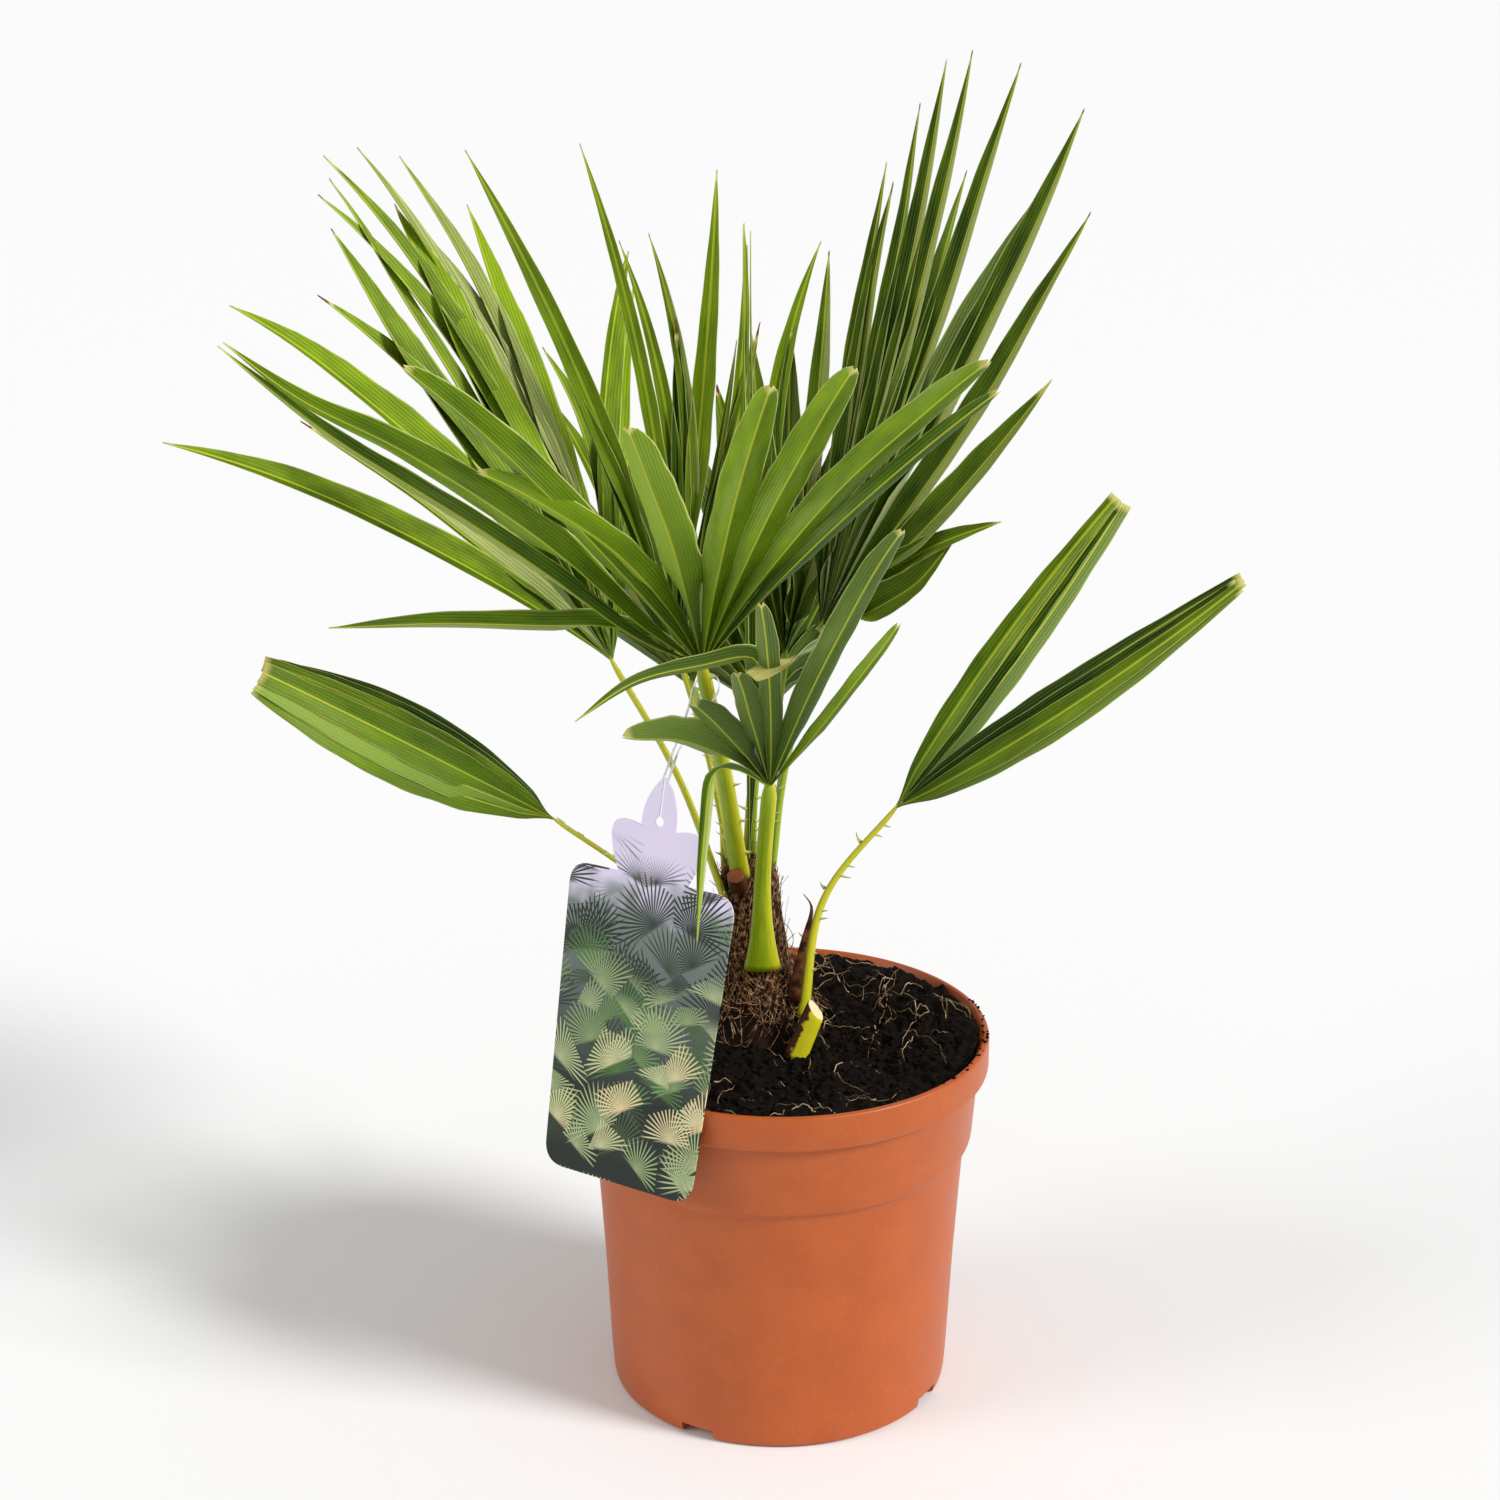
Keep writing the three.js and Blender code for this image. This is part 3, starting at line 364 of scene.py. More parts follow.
def add_piece(name, mesh, material):
    """Puts a finished mesh into the scene as a piece at the origin."""
    piece = bpy.data.objects.new(name, mesh)
    bpy.context.scene.collection.objects.link(piece)
    mesh.materials.append(material)
    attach(piece, "root")
    return piece


def bmesh_to_mesh(name, bm, smooth=True):
    """Ends a bmesh in millimetres as a mesh in metres."""
    bmesh.ops.scale(bm, vec=(MM, MM, MM), verts=bm.verts)
    mesh = bpy.data.meshes.new(name)
    bm.to_mesh(mesh)
    bm.free()
    mesh.polygons.foreach_set("use_smooth", [smooth] * len(mesh.polygons))
    return mesh


def direction(azimuth, elevation):
    """The unit vector of an azimuth from +X towards +Y and an elevation."""
    a, e = math.radians(azimuth), math.radians(elevation)
    return np.array((math.cos(e) * math.cos(a), math.cos(e) * math.sin(a), math.sin(e)))


def unit(vectors):
    """Vectors of length 1."""
    return vectors / np.maximum(np.linalg.norm(vectors, axis=-1, keepdims=True), 1e-9)


def turned(vectors, axis, angle):
    """Vectors turned about unit axes by angles in radians."""
    cos, sin = np.cos(angle), np.sin(angle)
    along = np.sum(vectors * axis, axis=-1, keepdims=True) * axis
    return vectors * cos + np.cross(axis, vectors) * sin + along * (1 - cos)


def blade_frame(azimuth, elevation, roll=0.0):
    """The directions along a blade's middle, across it, and out of its upper side."""
    axis = direction(azimuth, elevation)
    side = turned(unit(np.cross(axis, UP)), axis, math.radians(roll))
    return axis, side, np.cross(side, axis)


def smooth_line(route, count):
    """Points along a centripetal Catmull-Rom line through the route."""
    route = np.array(route, float)
    padded = np.vstack([2 * route[0] - route[1], route, 2 * route[-1] - route[-2]])
    line = []
    for place in np.linspace(0, len(route) - 1, count):
        i = min(int(place), len(route) - 2)
        share = place - i
        p0, p1, p2, p3 = padded[i : i + 4]
        d0, d1, d2 = (np.linalg.norm(b - a) ** 0.5 for a, b in ((p0, p1), (p1, p2), (p2, p3)))
        m1 = ((p1 - p0) / d0 - (p2 - p0) / (d0 + d1) + (p2 - p1) / d1) * d1
        m2 = ((p2 - p1) / d1 - (p3 - p1) / (d1 + d2) + (p3 - p2) / d2) * d1
        line.append(
            p1 + m1 * share + (3 * (p2 - p1) - 2 * m1 - m2) * share**2 + (2 * (p1 - p2) + m1 + m2) * share**3
        )
    return np.array(line)


def even_line(route, count):
    """Points at even distances along a smooth line."""
    fine = smooth_line(route, 12 * count)
    run = np.concatenate([[0], np.cumsum(np.linalg.norm(np.diff(fine, axis=0), axis=1))])
    places = np.linspace(0, run[-1], count)
    return np.stack([np.interp(places, run, fine[:, k]) for k in range(3)], axis=1), run[-1]


def smooth_step(low, high, value):
    """0 below low, 1 above high, and smooth between."""
    share = np.clip((value - low) / (high - low), 0, 1)
    return share * share * (3 - 2 * share)


class Skin:
    """Gathers many closed shapes as arrays, and turns them into one mesh with its named values."""

    def __init__(self, *names):
        self.names = names
        self.points, self.faces = [], []
        self.values = {name: [] for name in names}
        self.count = 0

    def add(self, points, faces, **values):
        """Adds a shape of n points, with n values of three numbers for each name."""
        self.points.append(points)
        self.faces.extend([tuple(self.count + i for i in face) for face in faces])
        for name in self.names:
            spread = np.broadcast_to(np.asarray(values[name], float), (len(points), 3))
            self.values[name].append(spread)
        self.count += len(points)

    def tube(self, rings, **values):
        """Adds rings of equally many points as a skin that is closed at both ends."""
        stations, around = rings.shape[:2]
        points = rings.reshape(-1, 3)
        faces = []
        for s in range(stations - 1):
            for i in range(around):
                j = (i + 1) % around
                faces.append((s * around + i, s * around + j, (s + 1) * around + j, (s + 1) * around + i))
        faces.append(tuple(range(around))[::-1])
        faces.append(tuple(range((stations - 1) * around, stations * around)))
        middle = points.mean(axis=0)
        a, b, c = (points[[face[k] for face in faces[:-2]]] - middle for k in (0, 1, 2))
        if np.sum(a * np.cross(b, c)) < 0:
            faces = [face[::-1] for face in faces]
        flat = {name: np.asarray(v).reshape(-1, 3) if np.ndim(v) == 3 else v for name, v in values.items()}
        self.add(points, faces, **flat)

    def mesh(self, name):
        """The mesh, in metres."""
        mesh = bpy.data.meshes.new(name)
        mesh.from_pydata((np.vstack(self.points) * MM).tolist(), [], self.faces)
        mesh.polygons.foreach_set("use_smooth", [True] * len(mesh.polygons))
        for key in self.names:
            layer = mesh.attributes.new(key, "FLOAT_VECTOR", "POINT")
            layer.data.foreach_set("vector", np.vstack(self.values[key]).astype(np.float32).ravel())
        mesh.update()
        return mesh


def strand_rings(line, radii, sides, flatten=1.0):
    """Round or flat rings along a line of points."""
    tangents = unit(np.gradient(line, axis=0))
    across = unit(np.cross(tangents, np.array((0.31, 0.52, 0.79))))
    depth = np.cross(tangents, across)
    angles = np.arange(sides) * 2 * math.pi / sides
    wide = across[:, None] * np.cos(angles)[None, :, None]
    deep = depth[:, None] * np.sin(angles)[None, :, None] * flatten
    return line[:, None] + (wide + deep) * np.asarray(radii)[:, None, None]


def flank_width(share, half_width, blunt):
    """How wide a leaflet's flank is at shares of its length."""
    rise = np.sin(math.pi / 2 * np.minimum(share / LEAF_WIDEST, 1))
    to_tip = np.clip((share - LEAF_WIDEST) / (1 - LEAF_WIDEST), 0, 1)
    taper = np.sqrt(np.maximum(1 - to_tip**4, 0)) if blunt else 1 - to_tip**2.3
    return half_width * np.where(share < LEAF_WIDEST, rise, taper)


def add_leaflet(skin, line, length, face, form):
    """Adds one leaflet along a line: folded along its rib, split at its tip, and closed all round."""
    share = np.linspace(0, 1, len(line))
    tangents = unit(np.gradient(line, axis=0))
    across = unit(np.cross(tangents, face))
    up = np.cross(across, tangents)
    twist = math.radians(form["twist"]) * share**1.5
    across, up = (turned(v, tangents, twist[:, None]) for v in (across, up))

    fold = math.radians(form["fold"])
    flank = flank_width(share, form["width"], form["blunt"])
    least = 0.32 if not form["blunt"] else 0.9
    if form.get("cut"):
        to_end = smooth_step(0.42, 1.0, share)
        flank = np.where(share > LEAF_WIDEST, form["width"] * (1 + (form["cut"] - 1) * to_end), flank)
    ripple = np.sin(2 * math.pi * (3.1 * form["waves"] * share + form["phase"]))
    ripple = ripple * np.sin(9 * share + 5 * form["phase"])
    flank = np.maximum(flank * (1 + 0.045 * ripple), least)

    # Near the hub the leaflets are fused, so each is no wider there than its share of the fan.
    free = flank * math.cos(fold)
    fused = math.tan(math.radians(form["half_step"])) * (share * length + 3) * 1.12
    apart = smooth_step(0.24, 0.42, share)
    lateral = np.minimum(fused, free) * (1 - apart) + free * apart
    rise = np.sqrt(np.maximum(flank**2 - lateral**2, 0)) * 0.9

    # The section is a fold with rounded flanks and a rib below it, and its tip is notched.
    s = np.array(LEAF_SECTION)
    split = 0.4 if form.get("cut") else 2.6 if form["blunt"] else 2.2
    notch = split * smooth_step(0.9, 1.0, share)[:, None] * (1 - np.abs(s))
    belly = 0.5 * np.sin(math.pi * np.abs(s))[None] * (flank / form["width"])[:, None]
    height = rise[:, None] * np.abs(s)[None] - belly
    wave = form["wave"] * np.sin(2 * math.pi * (form["waves"] * share + form["phase"])) * share
    height = height + wave[:, None]
    half = LEAF_THICKNESS / 2 * (1 - 0.5 * share)[:, None]
    rib = 0.45 * np.exp(-((s / 0.09) ** 2))[None] * (1 - 0.7 * share)[:, None]

    def surface(offset):
        return (
            line[:, None]
            + across[:, None] * (lateral[:, None] * s[None])[..., None]
            + up[:, None] * (height + offset)[..., None]
            - tangents[:, None] * notch[..., None]
        )

    upper, lower = surface(half), surface(-half - rib)[:, -2:0:-1]
    rim = (upper[:, [0, -1]] + surface(-half)[:, [0, -1]]) / 2
    upper[:, [0, -1]] = rim
    rings = np.concatenate([upper, lower], axis=1)

    # The leaf's material reads where each point lies, and its leaflet's tone and dryness.
    ring_s = np.concatenate([s, s[-2:0:-1]])
    under = np.concatenate([np.zeros(len(s)), np.ones(len(s) - 2)])
    shape = (len(line), len(ring_s))
    distance = share * length
    place = np.stack(
        [
            np.broadcast_to(ring_s[None] * flank[:, None], shape),
            np.broadcast_to(distance[:, None], shape),
            np.broadcast_to(np.abs(ring_s)[None], shape),
        ],
        axis=-1,
    )
    dry = smooth_step(length - form["dry"], length - form["dry"] * 0.35, distance) * form["brown"]
    tone = np.stack(
        [
            np.broadcast_to(under[None], shape),
            np.full(shape, form["tone"]),
            np.broadcast_to(dry[:, None], shape),
        ],
        axis=-1,
    )
    skin.tube(rings, leaf_place=place, leaf_tone=tone)


def half_step(bearings, i):
    """Half the mean angle between a leaflet and its neighbours, within the limits of a fan."""
    near = [abs(bearings[j] - bearings[i]) for j in (i - 1, i + 1) if 0 <= j < len(bearings)]
    return min(max(sum(near) / len(near) / 2, 2.0), 5.5)


def leaflet_form(frond, dice, width, fold, step, tone=None):
    """A leaflet's form, with the small differences that no two leaflets share.

    tone runs from its darkest green to its lightest, over 1 for waxed ones and under 0 for dull olive ones.
    dry is how many millimetres of its tip have yellowed, and brown is 1 where they are straw and 2 where
    they are brown.
    """
    blunt = frond.get("blunt", False)
    form = {
        "width": width,
        "fold": fold,
        "half_step": step,
        "blunt": blunt,
        "twist": dice.uniform(-7, 7),
        "wave": dice.uniform(0.3, 1.1),
        "waves": dice.uniform(1.2, 2.6),
        "phase": dice.random(),
        "tone": 0.6 * dice.random() if tone is None else tone,
        "dry": dice.choice((2.0, 3.0, 4.0, 6.0, 12.0)),
        "brown": dice.choice((1.0, 1.5, 2.0)),
    }
    if blunt:
        form.update(dry=dice.uniform(1.5, 3.0), brown=1.0)
    return form


def add_fan(skin, name, frond, dice):
    """Adds the leaflets of an open frond."""
    hub = np.array(frond["hub"], float)
    axis, side, face = blade_frame(*frond["axis"])
    bearings = [leaflet[0] for leaflet in frond["leaflets"]]
    cup = math.radians(frond["cup"])
    share = np.linspace(0, 1, LEAF_STATIONS)[:, None]
    for i, (bearing, length, *rest) in enumerate(frond["leaflets"]):
        width_share = rest[0] if rest else 1.0
        tone = rest[2] if len(rest) > 2 else None
        sin, cos = math.sin(math.radians(bearing)), math.cos(math.radians(bearing))
        swing = rest[1] if len(rest) > 1 else frond.get("bow", 0) + frond["spread"] * sin
        heading = (axis * cos + side * sin) * math.cos(cup) + face * math.sin(cup)
        beside = side * cos - axis * sin
        line = hub + length * (share * heading + share * (1 - share) * swing * beside)
        line = line - UP * frond["droop"] * length * share**2
        width, step = frond["width"] * width_share, half_step(bearings, i)
        add_leaflet(skin, line, length, face, leaflet_form(frond, dice, width, frond["fold"], step, tone))
    for bent in BENT_LEAFLETS.get(name, ()):
        line, length = even_line([frond["hub"], *bent["route"]], LEAF_STATIONS)
        form = leaflet_form({}, dice, bent["width"], bent["fold"], 3.0, bent["tone"])
        form.update(twist=0, cut=bent.get("cut"), dry=bent.get("dry", 3.0), brown=1.0)
        add_leaflet(skin, line, length, face, form)


def add_folded_blade(skin, hub, form, dice):
    """Adds a blade that is still folded up: leaflets laid over each other, cut straight across."""
    axis, side, face = blade_frame(*form["direction"], form["roll"])
    share = np.linspace(0, 1, LEAF_STATIONS)
    swell = np.maximum(np.sin(math.pi * share ** form["skew"]), 0) ** 0.8
    narrow = 2.2 + (form["cut"] - 2.2) * share
    lateral = (narrow + (form["width"] - narrow) * swell) * smooth_step(0, 0.12, share)
    for layer, (place, width, tone, under, cut, reach) in enumerate(form["leaflets"]):
        length = form["length"] * reach
        run = (length * share)[:, None]
        line = np.array(hub, float) + run * axis - UP * form["sag"] * run * share[:, None]
        stacked = 1.5 * layer * smooth_step(0, 0.2, share)
        line = line + side * (place * lateral)[:, None] + face * stacked[:, None]
        leaflet = leaflet_form({}, dice, width, form["fold"], 7.0, tone)
        leaflet.update(twist=dice.uniform(-1, 1), wave=0.2, cut=cut, dry=0.7, brown=0.8)
        add_leaflet(skin, line, length, -face if under else face, leaflet)


def leaf_material(settings):
    """Palm leaf: a leathery waxed blade whose fine parallel veins and pale rib run from hub to tip."""
    material, tree = new_material("waxed_palm_leaf")
    place = add_node(tree, "Attribute", attribute_name="leaf_place").outputs["Vector"]
    tone = add_node(tree, "Attribute", attribute_name="leaf_tone").outputs["Vector"]
    across, along, edge = add_node(tree, "SeparateXYZ", {0: place}).outputs[:3]
    under, shade, dry = add_node(tree, "SeparateXYZ", {0: tone}).outputs[:3]

    # Each leaflet's own tone, clouded along its length, picks between a dark green and a light one.
    spread = {0: place, 1: (1, 0.25, 1)}
    spread = add_node(tree, "VectorMath", spread, operation="MULTIPLY").outputs[0]
    cloud = add_node(tree, "TexNoise", {"Vector": spread, "Scale": 0.12, "Detail": 4.0}).outputs["Fac"]
    drift = add_node(tree, "MapRange", {0: cloud, 1: 0.3, 2: 0.7, 3: -0.3, 4: 0.3}).outputs[0]
    share = add_node(tree, "Math", {0: shade, 1: drift}, operation="ADD", use_clamp=True).outputs[0]
    greens = {0: share, 6: opaque(settings.upper_dark), 7: opaque(settings.upper_light)}
    upper = add_node(tree, "Mix", greens, data_type="RGBA").outputs[2]
    greens = {0: share, 6: opaque(settings.under_dark), 7: opaque(settings.under_light)}
    lower = add_node(tree, "Mix", greens, data_type="RGBA").outputs[2]

    # The underside wears a thin grey wax in patches.
    patch = {"Vector": spread, "Scale": 0.05, "Detail": 2.0}
    wax = add_node(tree, "TexNoise", patch).outputs["Fac"]
    wax = add_node(tree, "MapRange", {0: wax, 1: 0.5, 2: 0.7, 3: 0.0, 4: 0.4}).outputs[0]
    waxed = {0: wax, 6: lower, 7: opaque(settings.wax)}
    lower = add_node(tree, "Mix", waxed, data_type="RGBA").outputs[2]

    # Tones over 1 are waxed all over, and tones under 0 are a dull olive.
    bloom = add_node(tree, "MapRange", {0: shade, 1: 1.0, 2: 1.5, 3: 0.0, 4: 0.9}).outputs[0]
    dull = add_node(tree, "MapRange", {0: shade, 1: 0.0, 2: -1.0, 3: 0.0, 4: 0.9}).outputs[0]

    # Painted shade darkens the flank on one side of the rib, standing in for the flank that leans away from
    # the light. On dark leaflets a painted highlight pales the other flank.
    flank_shade = add_node(tree, "MapRange", {0: across, 1: 0.5, 2: -0.5, 3: 0.0, 4: 0.38}).outputs[0]
    flank_highlight = add_node(tree, "MapRange", {0: across, 1: 0.2, 2: 1.4}).outputs[0]
    fresh = add_node(tree, "MapRange", {0: shade, 1: 0.05, 2: 0.12}).outputs[0]
    dark = add_node(tree, "MapRange", {0: shade, 1: 0.2, 2: 0.45, 3: 0.6, 4: 0.04}).outputs[0]
    for limit in (dark, fresh):
        flank_highlight = add_node(tree, "Math", {0: flank_highlight, 1: limit}, operation="MULTIPLY").outputs[0]

    # Veins stand 0.7 mm apart on the real leaf and are drawn twice as coarse, so that the render shows them.
    turn = 2 * math.pi / settings.vein_spacing
    wave = add_node(tree, "Math", {0: across, 1: turn}, operation="MULTIPLY").outputs[0]
    vein = add_node(tree, "Math", {0: wave}, operation="SINE").outputs[0]
    lines = add_node(tree, "MapRange", {0: vein, 1: -1.0, 2: 1.0, 3: 0.0, 4: 0.16}).outputs[0]

    # The rib and the thin margins are paler, and painted shade darkens the fused pleats near the hub, where
    # the leaflets crowd and overlap.
    distance = add_node(tree, "Math", {0: across}, operation="ABSOLUTE").outputs[0]
    rib = add_node(tree, "MapRange", {0: distance, 1: 0.2, 2: 0.62, 3: 0.8, 4: 0.0}).outputs[0]
    margin = add_node(tree, "MapRange", {0: edge, 1: 0.93, 2: 0.99, 3: 0.0, 4: 0.85}).outputs[0]
    hub_shade = add_node(tree, "MapRange", {0: along, 1: 8.0, 2: 95.0, 3: 0.45, 4: 0.0}).outputs[0]

    # Tips yellow first and then brown.
    speck = add_node(tree, "TexNoise", {"Vector": place, "Scale": 0.9, "Detail": 2.0}).outputs["Fac"]
    browned = add_node(tree, "Math", {0: dry, 1: speck}, operation="ADD").outputs[0]
    browned = add_node(tree, "MapRange", {0: browned, 1: 1.7, 2: 2.1}).outputs[0]
    browns = {0: browned, 6: opaque(settings.dry), 7: opaque(settings.dry_dark)}
    withered = add_node(tree, "Mix", browns, data_type="RGBA").outputs[2]
    yellowed = add_node(tree, "MapRange", {0: dry, 1: 0.0, 2: 0.8}).outputs[0]

    layers = (
        (under, lower),
        (bloom, opaque(settings.wax)),
        (dull, opaque(settings.dull)),
        # Painted shade on one flank, and a painted highlight in the margin colour on the other.
        (flank_shade, opaque(settings.upper_dark)),
        (flank_highlight, opaque(settings.margin)),
        (lines, opaque(settings.vein)),
        (rib, opaque(settings.rib)),
        (margin, opaque(settings.margin)),
        # Painted shade near the hub.
        (hub_shade, opaque(settings.upper_dark)),
        (yellowed, withered),
    )
    finish_material(tree, upper, layers, 0.42, 0.1, vein, 0.08)
    return material


def loft(bm, rings, layer=None, values=None):
    """Joins closed rings of points with bridges, and closes both ends."""
    loops = []
    for r, ring in enumerate(rings):
        made = bmesh.ops.create_circle(bm, segments=len(ring), radius=1)["verts"]
        for i, (vert, point) in enumerate(zip(made, ring)):
            vert.co = Vector(point)
            if layer is not None:
                vert[layer] = Vector(values[r][i])
        loops.append(list({edge for vert in made for edge in vert.link_edges}))
    for before, after in zip(loops, loops[1:]):
        bmesh.ops.bridge_loops(bm, edges=before + after)
    bmesh.ops.holes_fill(bm, edges=bm.edges, sides=0)
    bmesh.ops.recalc_face_normals(bm, faces=bm.faces)


def stalk_axes(stalk, line):
    """The tangent, the side and the inward direction along a stalk."""
    outward = np.array((stalk["hub"][0] - CROWN_MIDDLE[0], stalk["hub"][1] - CROWN_MIDDLE[1], 0.0))
    tangents = unit(np.gradient(line, axis=0))
    across = unit(np.cross(tangents, outward))
    return tangents, across, np.cross(tangents, across)


def stalk_half(stalk, share):
    """Half a stalk's width at shares of its length: it is widest at its foot."""
    foot_width, tip_width = stalk["stalk"]
    return (tip_width + (foot_width - tip_width) * (1 - share) ** stalk.get("flare", 2)) / 2


def stalk_line(stalk, count, reach=3.0):
    """A stalk's line from its foot to a little inside its blade's hub."""
    hub, via = np.array(stalk["hub"], float), np.array(stalk["via"], float)
    tip = hub + unit(hub - via) * reach
    return even_line([stalk["foot"], via, tip], count)


def build_stalk(name, stalk):
    """A stalk: grooved on its upper side, round below, and wide at its foot."""
    bm = bmesh.new()
    layer = bm.verts.layers.float_vector.new("limb_place")
    count, sides = STALK_MESH
    line, length = stalk_line(stalk, count)
    _, across, inward = stalk_axes(stalk, line)
    share = np.linspace(0, 1, count)
    half = stalk_half(stalk, share)
    tip_width = stalk["stalk"][1]
    depth = half * 0.96 if stalk.get("round") else tip_width * 0.34 + (half - tip_width / 2) * 0.25
    angles = np.arange(sides) * 2 * math.pi / sides
    groove = np.clip(np.sin(angles), 0, 1) ** 2 * 0.45
    rings, values = [], []
    for k, centre in enumerate(line):
        end = min((1 - share[k]) * 12, 1) ** 0.5 * 0.75 + 0.25
        wide = np.cos(angles) * half[k] * end
        deep = np.sin(angles) * depth[k] * end * (1 - groove)
        rings.append(centre + across[k] * wide[:, None] + inward[k] * deep[:, None])
        values.append([(math.sin(a), share[k] * length, math.cos(a)) for a in angles])
    loft(bm, rings, layer, values)
    return bmesh_to_mesh(name, bm)


def add_spines(skin, stalk, dice):
    """Adds a stalk's thorns: hooked cones along both edges that point to the blade."""
    places = 60
    line, _ = stalk_line(stalk, places)
    tangents, across, inward = stalk_axes(stalk, line)
    count, sides = THORN_MESH
    for i in range(stalk["spines"]):
        share = 0.12 + 0.8 * (i + dice.uniform(-0.3, 0.3)) / max(stalk["spines"] - 1, 1)
        k = int(min(max(share, 0.05), 0.95) * (places - 1))
        turn = 1 if i % 3 == 0 else -1
        along = tangents[k]
        out = turned(across[k], along, math.radians(stalk.get("turn", 0))) * turn
        reach = dice.uniform(2.2, 5.2)
        start = line[k] + out * (stalk_half(stalk, share) - 0.8) + inward[k] * 0.3
        steps = np.linspace(0, 1, count)[:, None]
        route = start + out * (reach + 0.8) * steps + along * reach * 0.45 * steps**2
        radii = 1.0 * (1 - steps[:, 0]) ** 1.2 + 0.06
        values = np.zeros((count, sides, 3))
        values[..., 0] = steps
        skin.tube(strand_rings(route, radii, sides), limb_place=values)


def stalk_material(name, fresh, shade, yellow_and_highlight):
    """Petiole: a firm smooth stalk with fine lengthwise lines, a painted highlight of yellow along one flank,
    deeper in its groove.
    """
    material, tree = new_material(name)
    place = add_node(tree, "Attribute", attribute_name="limb_place").outputs["Vector"]
    groove, _, side = add_node(tree, "SeparateXYZ", {0: place}).outputs[:3]
    # Painted highlight: one flank of the stalk is laid with the yellow.
    flank = add_node(tree, "MapRange", {0: side, 1: 0.1, 2: 0.7, 3: 0.0, 4: 0.8}).outputs[0]
    lines = {0: place, 1: (9.0, 0.08, 0.0)}
    lines = add_node(tree, "VectorMath", lines, operation="MULTIPLY").outputs[0]
    grain = add_node(tree, "TexNoise", {"Vector": lines, "Scale": 1.0, "Detail": 3.0}).outputs["Fac"]
    layers = [(flank, opaque(yellow_and_highlight))]
    for value, low, high, most in ((groove, 0.2, 0.95, 0.55), (grain, 0.35, 0.7, 0.3)):
        share = {0: value, 1: low, 2: high, 3: 0.0, 4: most}
        share = add_node(tree, "MapRange", share, interpolation_type="SMOOTHSTEP").outputs[0]
        layers.append((share, opaque(shade)))
    finish_material(tree, opaque(fresh), layers, 0.38, 0.45, grain, 0.2)
    return material


def spine_material():
    """Thorn: hard yellow-green horn that browns to its point."""
    material, tree = new_material("thorn_horn")
    place = add_node(tree, "Attribute", attribute_name="limb_place").outputs["Vector"]
    share = add_node(tree, "SeparateXYZ", {0: place}).outputs[0]
    share = {0: share, 1: 0.5, 2: 0.95}
    share = add_node(tree, "MapRange", share, interpolation_type="SMOOTHSTEP").outputs[0]
    brown = ((share, opaque(linear("#8a5a2c"))),)
    finish_material(tree, opaque(linear("#cfd070")), brown, 0.4, 0.5)
    return material


def pot_material(settings):
    """Injection-moulded polypropylene: satin terracotta, faintly mottled, with a fine moulded grain."""
    material, tree = new_material("moulded_terracotta_plastic")
    where = add_node(tree, "TexCoord").outputs["Object"]
    cloud = add_node(tree, "TexNoise", {"Vector": where, "Scale": 45.0, "Detail": 3.0}).outputs["Fac"]
    share = add_node(tree, "MapRange", {0: cloud, 1: 0.35, 2: 0.65, 3: 0.25, 4: 0.75}).outputs[0]
    speck = add_node(tree, "TexNoise", {"Vector": where, "Scale": 420.0, "Detail": 3.0}).outputs["Fac"]
    pale = add_node(tree, "MapRange", {0: speck, 1: 0.55, 2: 0.8, 3: 0.0, 4: 0.16}).outputs[0]
    gloss = add_node(tree, "MapRange", {0: cloud, 1: 0.3, 2: 0.7, 3: 0.36, 4: 0.46}).outputs[0]
    layers = ((share, opaque(settings.colour)), (pale, opaque(settings.colour_pale)))
    finish_material(tree, opaque(settings.colour_dark), layers, gloss, 0.42, speck, 0.04)
    return material


def soil_material():
    """Peat compost: moist, near-black crumbs that scatter no gloss."""
    material, tree = new_material("peat_compost")
    where = add_node(tree, "TexCoord").outputs["Object"]
    crumb = {"Vector": where, "Scale": 1 / (SOIL["crumb"] * MM), "Detail": 6.0}
    cloud = add_node(tree, "TexNoise", crumb).outputs["Fac"]
    share = {0: cloud, 1: 0.35, 2: 0.65}
    share = add_node(tree, "MapRange", share, interpolation_type="SMOOTHSTEP").outputs[0]
    layers = ((share, opaque(linear("#1a110b"))),)
    finish_material(tree, opaque(linear("#040302")), layers, 0.9, 0.12, cloud, 1.2)
    return material


def plain_fibre_material(name, dark, pale, soiled=0.0, scale=170.0):
    """Dead plant fibre: dull, woody, of uneven brown, and soiled black below a height in metres."""
    material, tree = new_material(name)
    where = add_node(tree, "TexCoord").outputs["Object"]
    cloud = add_node(tree, "TexNoise", {"Vector": where, "Scale": scale, "Detail": 4.0}).outputs["Fac"]
    share = add_node(tree, "MapRange", {0: cloud, 1: 0.43, 2: 0.66}).outputs[0]
    height = add_node(tree, "SeparateXYZ", {0: where}).outputs[2]
    height = {0: cloud, 1: 0.03, 2: height}
    height = add_node(tree, "Math", height, operation="MULTIPLY_ADD").outputs[0]
    black = {0: height, 1: soiled + 0.005, 2: soiled + 0.02, 3: 0.88, 4: 0.0}
    black = add_node(tree, "MapRange", black).outputs[0]
    layers = ((share, opaque(linear(pale))), (black, opaque(linear("#0c0704"))))
    finish_material(tree, opaque(linear(dark)), layers, 0.8, 0.2, cloud, 0.2)
    return material


